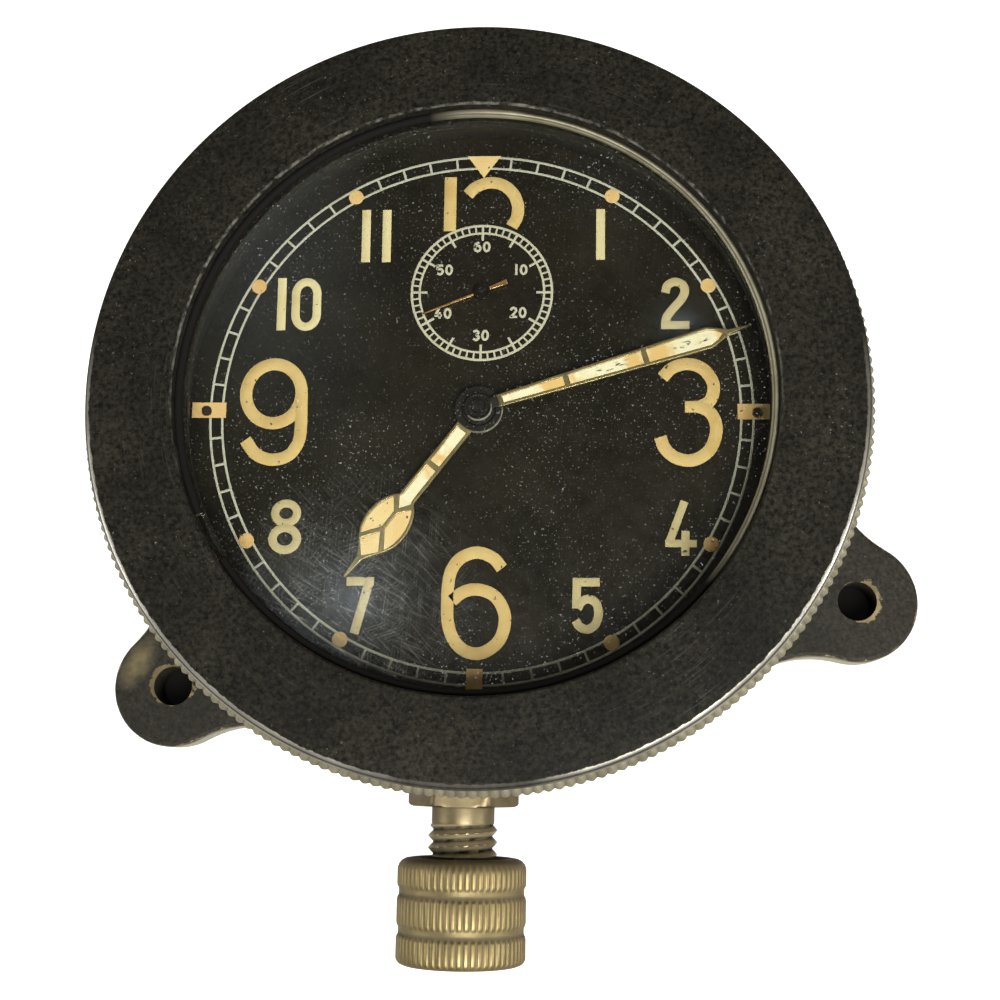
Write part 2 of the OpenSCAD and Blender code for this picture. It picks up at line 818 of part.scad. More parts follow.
module stem_bridge() {
    foot_w = 9;
    cheek_w = 4.4;
    y = -bridge_d - bridge_l;
    color("#b8954f")
        difference() {
            union() {
                translate([stem_x - foot_w / 2, y, front_z - bridge_foot_t])
                    cube([foot_w, bridge_l, bridge_foot_t]);
                translate([stem_x - cheek_w / 2, y, stem_z])
                    cube([cheek_w, bridge_l, front_z - stem_z]);
                along_stem(bridge_d)
                    cylinder(r = cheek_w / 2, h = bridge_l);
            }
            along_stem(bridge_d - cut)
                cylinder(r = stem_r + run_gap, h = bridge_l + 2 * cut);
            bridge_screw_places()
                translate([0, 0, front_z - bridge_foot_t - cut])
                    screw_hole(bridge_screw_size, bridge_foot_t + 2 * cut);
        }
}

module bridge_screws() {
    color("#4a5058")
        bridge_screw_places()
            translate([0, 0, front_top])
                screw(bridge_screw_size, front_plate_t + bridge_foot_t - leaf_lap);
}

module detent_spring() {
    leaf_t = 0.3;
    leaf_w = detent_groove_l - 2 * loose_gap;
    leaf_h = stem_rise + 1;
    inside = detent_groove_r + run_gap;
    foot_h = 0.5;
    half = inside + leaf_t;
    color("#5a6068") {
        for (side = [0, 1])
            mirror([side, 0, 0])
                translate([(1 - 2 * side) * stem_x + inside, -detent_d - leaf_w / 2, back_top])
                    cube([leaf_t, leaf_w, leaf_h]);
        translate([stem_x - half, -detent_d - leaf_w / 2, back_top])
            cube([2 * half, leaf_w, foot_h]);
    }
}

module balance_cock() {
    arm_w = 3;
    color("#c2a15e")
        difference() {
            union() {
                at(cock_foot_at, cock_z)
                    cylinder(r = cock_foot_r, h = back_z - cock_z);
                at(balance_at, cock_z)
                    cylinder(r = cock_head_r, h = cock_t);
                at(balance_at, cock_z)
                    rotate(cock_turn)
                        translate([0, -arm_w / 2, 0])
                            cube([cock_foot_d, arm_w, cock_t]);
            }
            at(balance_at, 0)
                through(cock_z, cock_t, jewel_r + seat_gap);
            at(cock_foot_at, cock_z - cut)
                screw_hole(cock_screw_size, back_z);
            at(cock_foot_at, cock_z - cut)
                cylinder(r = cock_screw_size[0] + leaf_lap, h = cut + cock_sink);
        }
}

module cock_screw() {
    color("#4a5058")
        at(cock_foot_at, cock_z + cock_sink)
            mirror([0, 0, 1])
                screw(cock_screw_size, back_top - pivot_sink - cock_z - cock_sink);
}

module cock_jewel() {
    color("#b0304a")
        at(balance_at, cock_z)
            difference() {
                cylinder(r = jewel_r, h = cock_t);
                translate([0, 0, loose_gap])
                    cylinder(r = pivot_r + run_gap, h = cock_t);
            }
}

module hairspring_stud() {
    stud_r = 0.4;
    stud_out = 0.6;
    color("#4a5058")
        at(balance_at + [hairspring_r + stud_out, 0], hairspring_z - leaf_lap)
            cylinder(r = stud_r, h = back_z - hairspring_z + leaf_lap);
}

module crown_wheel_screw() {
    color("#4a5058")
        at(crown_at, crown_top + loose_gap)
            screw(crown_screw_size, crown_top - back_top + crown_screw_sink);
}

module click_screw() {
    color("#4a5058")
        at(click_at, back_top + click_stud_h)
            screw(click_screw_size, ratchet_t);
}

module click_spring() {
    wire_t = 0.25;
    post_r = 0.6;
    post_at = barrel_at + polar(ratchet_tip_r + 4.2, click_nose_turn - 20);
    end_at = (click_at + 2 * click_nose_at) / 3 + polar(1.3, click_nose_turn + 8);
    l = norm(end_at - post_at);
    color("#5a6068") {
        at(post_at, back_top)
            cylinder(r = post_r, h = ratchet_t + loose_gap);
        at(post_at, ratchet_z)
            rotate(angle_to(post_at, end_at))
                translate([0, -wire_t / 2, 0])
                    cube([l, wire_t, click_t]);
    }
}

module click() {
    nose_w = 0.6;
    side = polar(click_r, angle_to(click_at, click_nose_at) + 90);
    color("#6a7078")
        difference() {
            union() {
                at(click_at, ratchet_z)
                    cylinder(r = click_r, h = click_t);
                translate([0, 0, ratchet_z])
                    linear_extrude(click_t)
                        polygon([click_at - side, click_nose_at, click_nose_at + nose_w * side,
                                 click_at + side]);
            }
            at(click_at, 0)
                through(ratchet_z, ratchet_t, click_stud_r + run_gap);
        }
}

module barrel() {
    color("#c8a862")
        at(barrel_at, barrel_z)
            difference() {
                union() {
                    gear(barrel_teeth[0], barrel_m, wheel_form, barrel_phase, barrel_gear_t);
                    cylinder(r = barrel_drum_r, h = barrel_h);
                }
                translate([0, 0, barrel_gear_t])
                    cylinder(r = barrel_room_r, h = barrel_h);
                translate([0, 0, barrel_h - cover_t])
                    cylinder(r = cover_seat_r, h = barrel_h);
                through(0, barrel_gear_t, barrel_shoulder_r + run_gap);
            }
}

module barrel_cover() {
    color("#d0b46e")
        at(barrel_at, barrel_z + barrel_h - cover_t)
            difference() {
                cylinder(r = cover_seat_r - seat_gap, h = cover_t);
                through(0, cover_t, barrel_shoulder_r + run_gap);
            }
}

module mainspring() {
    blade_t = 0.25;
    turns = 7;
    outer_r = barrel_room_r - blade_t - leaf_lap;
    color("#4f5f7a")
        at(barrel_at, barrel_z + barrel_gear_t + loose_gap)
            linear_extrude(barrel_h - barrel_gear_t - cover_t - 2 * loose_gap)
                polygon(spiral(barrel_hub_r + run_gap, outer_r, turns, blade_t, 0));
}

module barrel_arbor() {
    color("#8a8f96")
        at(barrel_at, 0) {
            translate([0, 0, back_z + pivot_sink])
                cylinder(r = barrel_pivot_r, h = front_top - back_z - 2 * pivot_sink);
            translate([0, 0, barrel_z - leaf_lap])
                cylinder(r = barrel_shoulder_r, h = front_z - end_shake - barrel_z + leaf_lap);
            translate([0, 0, barrel_z + barrel_gear_t + leaf_lap])
                cylinder(r = barrel_hub_r, h = barrel_h - barrel_gear_t - cover_t - 2 * leaf_lap);
            translate([-barrel_square / 2, -barrel_square / 2, ratchet_z])
                cube([barrel_square, barrel_square, ratchet_t]);
        }
}

module ratchet_wheel() {
    square = barrel_square + 2 * seat_gap;
    color("#7d8288")
        at(barrel_at, ratchet_z)
            difference() {
                gear(ratchet_teeth[0], ratchet_m, ratchet_form, ratchet_phase, ratchet_t);
                translate([-square / 2, -square / 2, -cut])
                    cube([square, square, ratchet_t + 2 * cut]);
            }
}

module crown_wheel() {
    t = crown_top - ratchet_z;
    tooth_w = 0.5;
    tooth_l = 1;
    at_crown = mesh_at(ratchet_phase, ratchet_phase, ratchet_teeth[0], ratchet_teeth[1]);
    color("#7d8288")
        at(crown_at, ratchet_z)
            difference() {
                union() {
                    gear(ratchet_teeth[1], ratchet_m, ratchet_form, at_crown, t);
                    for (i = [0:winding_teeth[0] - 1])
                        rotate(270 + i * 360 / winding_teeth[0])
                            translate([winding_face_r - tooth_l / 2, -tooth_w / 2, t - cut])
                                cube([tooth_l, tooth_w, face_tooth_top - crown_top + cut]);
                }
                through(0, t, crown_post_r + run_gap);
            }
}

module winding_pinion() {
    square = stem_square + 2 * run_gap;
    color("#7d8288")
        along_stem(winding_d - winding_l / 2)
            difference() {
                gear(winding_teeth[1], winding_m, leaf_form, -90 + 180 / winding_teeth[1], winding_l);
                translate([-square / 2, -square / 2, -cut])
                    cube([square, square, winding_l + 2 * cut]);
            }
}

// The inner square leaves the winding pinion when the stem is pulled, the outer one slides in the knob
module stem() {
    shoulder_d = bridge_d - loose_gap;
    leaves = 10;
    leaf_m = setting_pinion_r / (leaves / 2 + leaf_form[0]);
    color("#8a8f96") {
        difference() {
            along_stem(shoulder_d)
                cylinder(r = stem_r, h = tube_end_d - shoulder_d);
            along_stem(detent_d - detent_groove_l / 2)
                difference() {
                    cylinder(r = stem_r + cut, h = detent_groove_l);
                    cylinder(r = detent_groove_r, h = detent_groove_l);
                }
        }
        for (reach = [[square_d, bridge_d], [tube_end_d - cut, stem_end_d]])
            along_stem(reach[0])
                translate([-stem_square / 2, -stem_square / 2, 0])
                    cube([stem_square, stem_square, reach[1] - reach[0]]);
        along_stem(stem_inner_d)
            cylinder(r = stem_inner_r, h = square_d - stem_inner_d + leaf_lap);
        along_stem(stem_inner_d)
            gear(leaves, leaf_m, leaf_form, 90, setting_pinion_l);
    }
}

module knob() {
    band_step = knob_band_l + knob_groove_w;
    edge = 0.7;
    flute_d = 0.25;
    core_r = knob_r - 0.4;
    socket = stem_square + 2 * run_gap;
    color("#9a8a55")
        along_stem(knob_d)
            difference() {
                intersection() {
                    union() {
                        for (i = [0:2])
                            translate([0, 0, i * band_step])
                                linear_extrude(knob_band_l)
                                    polygon(flute_points(knob_flutes, knob_r - flute_d, knob_r));
                        cylinder(r = core_r, h = knob_l);
                    }
                    rotate_extrude()
                        polygon([[0, 0], [knob_r - edge, 0], [knob_r, edge], [knob_r, knob_l - edge],
                                 [knob_r - edge, knob_l], [0, knob_l]]);
                }
                translate([0, 0, -cut])
                    cylinder(r = knob_bore_r, h = knob_bore_l + cut);
                translate([-socket / 2, -socket / 2, 0])
                    cube([socket, socket, knob_socket_l]);
            }
}

module setting_arbor() {
    disc_t = 0.6;
    pinion_t = 0.9;
    pinion_z = front_top + end_shake;
    tooth_z = stem_z + setting_pinion_r + 2 * loose_gap;
    tooth_h = 0.7;
    disc_z = tooth_z + tooth_h;
    phase = mesh_at(angle_to(minute_wheel_at, setting_at), minute_phase, minute_teeth[0], setting_leaves);
    color("#8a8f96")
        at(setting_at, 0) {
            translate([0, 0, disc_z])
                cylinder(r = motion_stud_r, h = pinion_z + pinion_t - disc_z);
            translate([0, 0, disc_z])
                cylinder(r = setting_face_r, h = disc_t);
            translate([0, 0, disc_z + disc_t])
                cylinder(r = setting_shoulder_r, h = front_z - end_shake - disc_z - disc_t);
            for (i = [0:setting_face_teeth - 1])
                rotate(i * 360 / setting_face_teeth)
                    translate([setting_face_r - setting_tooth_l, -setting_tooth_w / 2, tooth_z])
                        cube([setting_tooth_l, setting_tooth_w, tooth_h + leaf_lap]);
            translate([0, 0, pinion_z])
                gear(setting_leaves, setting_m, leaf_form, phase, pinion_t);
        }
}

module centre_wheel() {
    post_out = 0.5;
    color("#c8a862") {
        translate([0, 0, back_top + end_shake])
            cylinder(r = centre_arbor_r, h = pillar_h - 2 * end_shake);
        translate([0, 0, back_z + pivot_sink])
            cylinder(r = centre_foot_r, h = back_plate_t);
        translate([0, 0, front_z - cut])
            cylinder(r = centre_collar_r, h = front_plate_t + cut);
        translate([0, 0, front_top - cut])
            cylinder(r = post_r, h = minute_z + hand_t + post_out - front_top + cut);
        pinion(barrel_teeth, barrel_m, barrel_phase, barrel_z, barrel_gear_t);
        translate([0, 0, centre_z])
            train_wheel(centre_teeth[0], centre_m, centre_phase);
    }
}

module third_wheel() {
    color("#c8a862")
        at(third_at, 0) {
            arbor(arbor_r);
            pinion(centre_teeth, centre_m, centre_phase, centre_z, wheel_t);
            translate([0, 0, third_z])
                train_wheel(third_teeth[0], third_m, third_phase);
        }
}

module fourth_wheel() {
    pivot_out = 0.3;
    color("#c8a862")
        at(fourth_at, 0) {
            arbor(arbor_r);
            translate([0, 0, front_z])
                cylinder(r = seconds_pivot_r, h = seconds_z + pivot_out - front_z);
            pinion(third_teeth, third_m, third_phase, third_z, wheel_t);
            translate([0, 0, fourth_z])
                train_wheel(fourth_teeth[0], fourth_m, fourth_phase);
        }
}

module seconds_hand() {
    t = 0.2;
    hub_r = 0.75;
    hub_h = 0.35;
    tail_l = 3;
    half = [[0.3, -tail_l], [0.16, 0], [0.07, seconds_l]];
    color("#a8793a")
        at(fourth_at, seconds_z)
            rotate(-seconds_at)
                difference() {
                    union() {
                        linear_extrude(t)
                            polygon(concat(half, mirrored(half)));
                        cylinder(r = hub_r, h = hub_h);
                    }
                    through(0, t, seconds_pivot_r + seat_gap);
                }
}

module escape_wheel() {
    step = 360 / escape_teeth;
    root = 3.2;
    rim = 0.5;
    hub_r = 1;
    arms = 4;
    arm_w = 0.5;
    points = [for (i = [0:escape_teeth - 1])
                 for (s = [[-0.3, root], [-0.04, escape_r - 0.25], [-0.02, escape_r], [0.09, escape_r - 0.12],
                           [0.06, escape_r - 0.4], [0.2, root]])
                     polar(s[1], (i + s[0]) * step)];
    color("#d8c070")
        at(escape_at, 0) {
            arbor(lever_arbor_r);
            pinion(fourth_teeth, fourth_m, fourth_phase, fourth_z, wheel_t);
            translate([0, 0, escape_z])
                difference() {
                    linear_extrude(lever_t)
                        polygon(points);
                    crossings(hub_r, root - rim, arms, arm_w, lever_t);
                }
        }
}

// Pallets: how far their faces stand clear of the escape wheel, and the depth of an arm there
pallet_clear = 0.3;
pallet_arm = [0.75, 1.5];

// Place of a pallet jewel, seen from the pallet arbor
function jewel_at(side, out) =
    escape_at + polar(escape_r + out, balance_turn + side * pallet_span) - pallet_at;

module pallet_fork() {
    hub_r = 0.55;
    notch_w = 0.5;
    notch_l = 0.6;
    horn_l = 1;
    horn_half = 0.9;
    reach = fork_d - roller_r - 0.3;
    lever = [[0, -0.5], [reach - horn_l, -0.3], [reach, -horn_half], [reach, horn_half],
             [reach - horn_l, 0.3], [0, 0.5]];
    color("#8a8f96")
        at(pallet_at, 0) {
            arbor(lever_arbor_r);
            translate([0, 0, escape_z])
                linear_extrude(lever_t)
                    difference() {
                        union() {
                            circle(r = hub_r);
                            for (side = [-1, 1])
                                polygon([polar(0.8, balance_turn + side * 40),
                                         jewel_at(side, pallet_clear + pallet_arm[1]),
                                         jewel_at(side, pallet_clear + pallet_arm[0]),
                                         polar(0.5, balance_turn + side * 150)]);
                            rotate(balance_turn)
                                polygon(lever);
                        }
                        rotate(balance_turn)
                            translate([reach - notch_l, -notch_w / 2])
                                square([notch_l + cut, notch_w]);
                    }
        }
}

module pallet_jewels() {
    w = 0.45;
    h = 0.4;
    color("#b0304a")
        for (side = [-1, 1])
            at(escape_at, escape_z + lever_t)
                rotate(balance_turn + side * pallet_span)
                    translate([escape_r + pallet_clear + pallet_arm[0], -w / 2, 0])
                        cube([pallet_arm[1] - pallet_arm[0], w, h]);
}

module balance_wheel() {
    hub_r = 1.4;
    arms = 2;
    arm_w = 1.4;
    color("#d0b46e")
        at(balance_at, rim_z)
            difference() {
                cylinder(r = balance_r, h = rim_t);
                crossings(hub_r, balance_r - rim_w, arms, arm_w, rim_t);
                through(0, rim_t, staff_r + seat_gap);
            }
}

module balance_staff() {
    color("#8a8f96")
        at(balance_at, 0) {
            translate([0, 0, cock_z + cock_t + end_shake])
                cylinder(r = staff_r, h = front_z - cock_z - cock_t - 2 * end_shake);
            translate([0, 0, cock_z + pivot_sink])
                cylinder(r = pivot_r, h = front_top - cock_z - 2 * pivot_sink);
            translate([0, 0, rim_z + rim_t])
                cylinder(r = collet_r, h = hairspring_z + hairspring_h - rim_z - rim_t);
        }
}

module roller() {
    color("#8a8f96")
        at(balance_at, escape_z)
            difference() {
                cylinder(r = roller_r, h = lever_t);
                through(0, lever_t, staff_r + seat_gap);
            }
}

module hairspring() {
    blade_t = 0.12;
    turns = 6;
    color("#4f5f7a")
        at(balance_at, hairspring_z)
            linear_extrude(hairspring_h)
                polygon(spiral(collet_r + run_gap, hairspring_r, turns, blade_t, 0));
}

module cannon_pinion() {
    z = motion_z - leaf_lap;
    h = minute_z + hand_t + pipe_out - z;
    color("#8a8f96")
        difference() {
            union() {
                translate([0, 0, z])
                    cylinder(r = cannon_r, h = h);
                pinion(minute_teeth, minute_m, minute_phase, motion_z, motion_t);
            }
            through(z, h, post_r + run_gap);
        }
}

// Minute hand: a long sword with two cross bars
minute_hub_r = 1.5;
minute_base = [0.7, 2.3];
minute_wide = [1.22, 25.6];
minute_neck = [0.28, 27.8];
minute_tip_w = 0.1;
minute_bars = [9.8, 18.5];
bar_w = 0.6;
frame_w = 0.36;
lume_sink = 0.05;
minute_window_low = 2.75;
minute_window_tip = 27.1;
function minute_half(y) =
    let (share = (y - minute_base[1]) / (minute_wide[1] - minute_base[1]))
    minute_base[0] + (minute_wide[0] - minute_base[0]) * share;

// Openings of the minute hand, drawn in by a gap on every side
module minute_windows(gap) {
    from = [minute_window_low, minute_bars[0] + bar_w / 2, minute_bars[1] + bar_w / 2];
    to = [minute_bars[0] - bar_w / 2, minute_bars[1] - bar_w / 2, minute_wide[1]];
    for (i = [0:2]) {
        low = from[i] + gap;
        high = to[i] - gap;
        a = minute_half(low) - frame_w - gap;
        b = minute_half(high) - frame_w - gap;
        tip = i == 2 ? [[0, minute_window_tip - gap]] : [];
        polygon(concat([[-a, low], [a, low], [b, high]], tip, [[-b, high]]));
    }
}

module minute_hand() {
    half = [[0.65, 0], minute_base, minute_wide, minute_neck, [minute_tip_w, minute_l]];
    color("#6e5f38")
        translate([0, 0, minute_z])
            rotate(-minute_at)
                difference() {
                    union() {
                        linear_extrude(hand_t)
                            difference() {
                                polygon(concat(half, mirrored(half)));
                                minute_windows(0);
                            }
                        cylinder(r = minute_hub_r, h = hand_t);
                    }
                    through(0, hand_t, cannon_r + seat_gap);
                }
}

module minute_lume() {
    color("#efe6c4")
        translate([0, 0, minute_z + lume_sink])
            rotate(-minute_at)
                linear_extrude(hand_t - 2 * lume_sink)
                    minute_windows(seat_gap);
}

module minute_wheel() {
    pinion_t = motion_step + motion_t + leaf_lap;
    at_pinion = mesh_at(hour_phase, hour_phase, hour_teeth[0], hour_teeth[1]);
    color("#c8a862")
        at(minute_wheel_at, motion_z)
            difference() {
                union() {
                    gear(minute_teeth[0], minute_m, wheel_form, minute_phase, motion_t);
                    gear(hour_teeth[1], hour_m, leaf_form, at_pinion, pinion_t);
                }
                through(0, pinion_t, motion_stud_r + run_gap);
            }
}

module hour_wheel() {
    z = motion_z + motion_step;
    h = hour_z + hand_t + leaf_lap - z;
    color("#c8a862")
        difference() {
            union() {
                translate([0, 0, z])
                    gear(hour_teeth[0], hour_m, wheel_form, hour_phase, motion_t);
                translate([0, 0, z])
                    cylinder(r = hour_pipe_r, h = h);
            }
            through(z, h, cannon_r + run_gap);
        }
}

// Hour hand: a shaft with a pear, whose opening is split by forked bars
hour_hub_r = 2.6;
shaft_half = 0.95;
pear_from = 12.3;
pear_wide = [2.42, 15.8];
pear_neck = [0.35, 20.3];
fork_low = 14;
fork_high = 16.3;
fork_low_arm = [1.3, -1.75];
fork_high_arm = [1.5, 2.4];
fork_w = 0.42;
hour_bar = 7.8;
hour_window_low = 2.9;
hour_tip_w = 0.12;

// Half outline of the pear, drawn in by a gap
function pear_half(gap) =
    concat(bow([shaft_half - gap, pear_from], [shaft_half - gap + 0.5, pear_from + 0.3],
               [pear_wide[0] - gap, pear_wide[1] - 1.9], [pear_wide[0] - gap, pear_wide[1]], 6),
           bow([pear_wide[0] - gap, pear_wide[1]], [pear_wide[0] - gap, pear_wide[1] + 2.2],
               [pear_neck[0] + 0.75, pear_neck[1] - 1.6],
               [max(pear_neck[0] - gap, 0.02), pear_neck[1] - gap], 6));

// A straight bar between two points
module bar(p, q, w) {
    translate(p)
        rotate(angle_to(p, q))
            translate([-w / 2, -w / 2])
                square([norm(q - p) + w, w]);
}

// Openings of the hour hand, drawn in by a gap on every side
module hour_windows(gap) {
    w = fork_w + 2 * gap;
    half = shaft_half - frame_w - gap;
    low = [[half, hour_window_low + gap], [half, hour_bar - bar_w / 2 - gap]];
    high = [[half, hour_bar + bar_w / 2 + gap], [half, pear_from]];
    polygon(concat(low, mirrored(low)));
    difference() {
        union() {
            polygon(concat(pear_half(frame_w + gap), mirrored(pear_half(frame_w + gap))));
            polygon(concat(high, mirrored(high)));
        }
        for (side = [-1, 1]) {
            bar([0, fork_low], [side * fork_low_arm[0], fork_low + fork_low_arm[1]], w);
            bar([0, fork_high], [side * fork_high_arm[0], fork_high + fork_high_arm[1]], w);
        }
        bar([0, fork_low], [0, fork_high], w);
    }
}

module hour_hand() {
    half = concat([[shaft_half, 0]], pear_half(0), [[hour_tip_w, hour_l]]);
    color("#6e5f38")
        translate([0, 0, hour_z])
            rotate(-hour_at)
                difference() {
                    union() {
                        linear_extrude(hand_t)
                            difference() {
                                polygon(concat(half, mirrored(half)));
                                hour_windows(0);
                            }
                        cylinder(r = hour_hub_r, h = hand_t);
                    }
                    through(0, hand_t, hour_pipe_r + seat_gap);
                }
}

module hour_lume() {
    color("#efdca8")
        translate([0, 0, hour_z + lume_sink])
            rotate(-hour_at)
                linear_extrude(hand_t - 2 * lume_sink)
                    hour_windows(seat_gap);
}

case();
bezel();
glass();
glass_ring();
dial();
dial_screws();
movement_ring();
ring_screws();
movement_screws();
front_plate();
back_plate();
pillars();
pillar_screws();
stem_tube();
stem_bridge();
bridge_screws();
detent_spring();
balance_cock();
cock_screw();
cock_jewel();
hairspring_stud();
crown_wheel_screw();
click_screw();
click_spring();
click();
barrel();
barrel_cover();
mainspring();
barrel_arbor();
ratchet_wheel();
crown_wheel();
winding_pinion();
stem();
knob();
setting_arbor();
centre_wheel();
third_wheel();
fourth_wheel();
seconds_hand();
escape_wheel();
pallet_fork();
pallet_jewels();
balance_wheel();
balance_staff();
roller();
hairspring();
cannon_pinion();
minute_hand();
minute_lume();
minute_wheel();
hour_wheel();
hour_hand();
hour_lume();
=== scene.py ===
import json
import math

import bmesh
import bpy
from mathutils import Matrix, Vector


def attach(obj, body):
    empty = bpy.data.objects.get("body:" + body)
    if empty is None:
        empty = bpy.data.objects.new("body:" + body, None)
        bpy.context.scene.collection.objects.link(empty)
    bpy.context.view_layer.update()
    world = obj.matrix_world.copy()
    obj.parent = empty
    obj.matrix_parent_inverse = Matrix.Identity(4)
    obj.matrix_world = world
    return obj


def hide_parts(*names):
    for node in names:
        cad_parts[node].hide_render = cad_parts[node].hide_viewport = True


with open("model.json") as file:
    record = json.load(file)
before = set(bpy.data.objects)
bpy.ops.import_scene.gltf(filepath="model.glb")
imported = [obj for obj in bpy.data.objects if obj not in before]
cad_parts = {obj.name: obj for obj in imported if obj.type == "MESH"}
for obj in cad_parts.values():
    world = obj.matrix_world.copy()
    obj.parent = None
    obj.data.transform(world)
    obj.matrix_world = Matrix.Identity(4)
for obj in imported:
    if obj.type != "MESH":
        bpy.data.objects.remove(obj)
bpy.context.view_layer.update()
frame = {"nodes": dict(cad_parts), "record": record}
nodes = frame["nodes"]
MM = 0.001

# Sizes shared with the CAD part, in millimetres and degrees
FACE_Z = 33.2
DIAL_Z = 23.3
SEAT_Z = 28.2
KNURL_H = 3.0
BEZEL_R = 39.85
WINDOW_R = 30.8
GLASS_TOP, GLASS_FOOT = 30.9, 28.9
HOUR_Z, MINUTE_Z, SECONDS_Z = 24.2, 25.2, 23.55
HOUR_AT, MINUTE_AT, SECONDS_AT = 217.3, 72.6, 248.0
HAND_T = 0.4
BASE_R, BASE_T = 40.4, 4.5
POT_R, NECK_R = 38.5, 37.5
LUG_R, LUG_REACH, HOLLOW_R = 7.1, 46.7, 13.0
HOLE_R, HOLE_EDGE_R = 2.2, 2.3
LUGS_AT = (97.7, 217.7, 337.7)
# Centre of the small seconds, and x and z of the stem's axis
SUB = (0.0, 13.5)
STEM = (-1.6, 13.4)


# Node helpers
class Nodes:
    """Node tree that is built a node at a time."""

    def __init__(self, tree):
        self.tree = tree
        tree.nodes.clear()

    def add(self, kind, out=0, props=None, **inputs):
        """New node with its inputs set, where i0, i1 and so on mean an input by its place."""
        node = self.tree.nodes.new("ShaderNode" + kind)
        for key, value in (props or {}).items():
            setattr(node, key, value)
        for key, value in inputs.items():
            by_place = key[0] == "i" and key[1:].isdigit()
            socket = node.inputs[int(key[1:]) if by_place else key.replace("_", " ")]
            if isinstance(value, bpy.types.NodeSocket):
                self.tree.links.new(value, socket)
            elif isinstance(value, tuple) and socket.type == "RGBA":
                socket.default_value = (*value, 1.0)
            else:
                socket.default_value = value
        return node.outputs[out]

    def ramp(self, value, low, high, a=0.0, b=1.0, shape="LINEAR"):
        return self.add("MapRange", 0, {"clamp": True, "interpolation_type": shape}, Value=value,
                        i1=low, i2=high, i3=a, i4=b)

    def span(self, length, low, high, a=0.0, b=1.0):
        """Ramp over a length, its limits in millimetres."""
        return self.ramp(length, low * MM, high * MM, a, b)

    def between(self, mask, a, b):
        return self.ramp(mask, 0.0, 1.0, a, b)

    def math(self, op, a, b=0.0):
        return self.add("Math", 0, {"operation": op}, i0=a, i1=b)

    def product(self, total, *factors):
        for factor in factors:
            total = self.math("MULTIPLY", total, factor)
        return total

    def radius(self, x, y):
        return self.math("SQRT", self.math("ADD", self.product(x, x), self.product(y, y)))

    def vector(self, op, a, b=(0.0, 0.0, 0.0), out="Vector"):
        return self.add("VectorMath", out, {"operation": op}, i0=a, i1=b)

    def finish(self, shader, kind="OutputMaterial"):
        self.tree.links.new(shader, self.tree.nodes.new("ShaderNode" + kind).inputs["Surface"])


class Shader(Nodes):
    """Nodes of a new material."""

    def __init__(self, name):
        self.mat = bpy.data.materials.new(name)
        self.mat.use_nodes = True
        super().__init__(self.mat.node_tree)

    def coords(self):
        return self.add("TexCoord", "Object")

    def xyz(self, place=None):
        place = place or self.coords()
        return [self.add("SeparateXYZ", i, Vector=place) for i in range(3)]

    def away(self, point):
        """Distance from a point."""
        return self.vector("LENGTH", self.vector("SUBTRACT", self.coords(), point), out="Value")

    def noise(self, scale, detail=3.0, rough=0.55, place=None):
        return self.add("TexNoise", Vector=place or self.coords(), Scale=scale, Detail=detail,
                        Roughness=rough)

    def groove(self):
        """The groove value that a mesh carries at its points."""
        return self.add("Attribute", 2, {"attribute_name": "groove"})

    def mix(self, factor, a, b):
        return self.add("Mix", 2, {"data_type": "RGBA"}, i0=factor, i6=a, i7=b)

    def surface(self, color, rough, metallic=0.0, grain=None, specular=0.5):
        """Surface whose grain is the scale, strength and depth of its bumps, and maybe their detail."""
        inputs = dict(Base_Color=color, Roughness=rough, Metallic=metallic, Specular_IOR_Level=specular)
        if grain:
            scale, strength, depth, *detail = grain
            inputs["Normal"] = self.add("Bump", Height=self.noise(scale, *detail), Strength=strength,
                                        Distance=depth)
        self.finish(self.add("BsdfPrincipled", **inputs))
        return self.mat


# Materials that several pieces share
BLACK, WORN_BLACK, SPECK = (0.004, 0.0037, 0.003), (0.03, 0.0275, 0.021), (0.16, 0.155, 0.13)
PALE, WARM, ORANGE = (0.72, 0.69, 0.49), (0.7, 0.59, 0.33), (0.62, 0.4, 0.125)


def paint_color(s, dark, light, speck):
    """Black paint, finely mottled, with small pale specks."""
    fine = s.ramp(s.noise(2300, 4, 0.65), 0.34, 0.68)
    broad = s.ramp(s.noise(110), 0.35, 0.7, 0.45, 1.0)
    mottled = s.mix(s.product(fine, broad), dark, light)
    specks = s.ramp(s.noise(3200, 2, 0.6), 0.67, 0.75)
    patches = s.ramp(s.noise(150), 0.4, 0.66)
    return s.mix(s.product(specks, patches, 0.8), mottled, speck)


def pot_paint():
    s = Shader("case_paint")
    color = paint_color(s, BLACK, (0.034, 0.032, 0.026), SPECK)
    return s.surface(color, s.ramp(s.noise(500), 0.3, 0.7, 0.47, 0.67), 0.0, (2200, 0.25, 0.00006), 0.08)


def metal(name, bright, dull, rough, scale=350, grime_from=0.62, black=None):
    """Tarnished metal, drawn near black where black, which is given the shader, says so."""
    s = Shader(name)
    tone = s.mix(s.ramp(s.noise(scale, 5, 0.6), 0.35, 0.68), bright, dull)
    dirt = s.ramp(s.noise(scale * 3.1, 4, 0.65), grime_from, grime_from + 0.14)
    color = s.mix(s.product(dirt, 0.75), tone, (0.05, 0.045, 0.03))
    roughness = s.ramp(s.noise(scale * 2), 0.3, 0.7, rough - 0.07, rough + 0.12)
    metallic = s.between(dirt, 1.0, 0.35)
    if black:
        mask = black(s)
        color = s.mix(mask, color, (0.012, 0.011, 0.009))
        metallic = s.product(metallic, s.between(mask, 1.0, 0.3))
    return s.surface(color, roughness, metallic, (scale * 6, 0.12, 0.00005))


# Wheels and steel parts are drawn near black above the dial.
def above_dial(s):
    height = s.xyz(s.add("NewGeometry", "Position"))[2]
    return s.span(height, DIAL_Z - 0.2, DIAL_Z + 0.1)


def near_axis(s):
    x, y, _ = s.xyz()
    return s.span(s.radius(x, y), 2.5, 2.2)


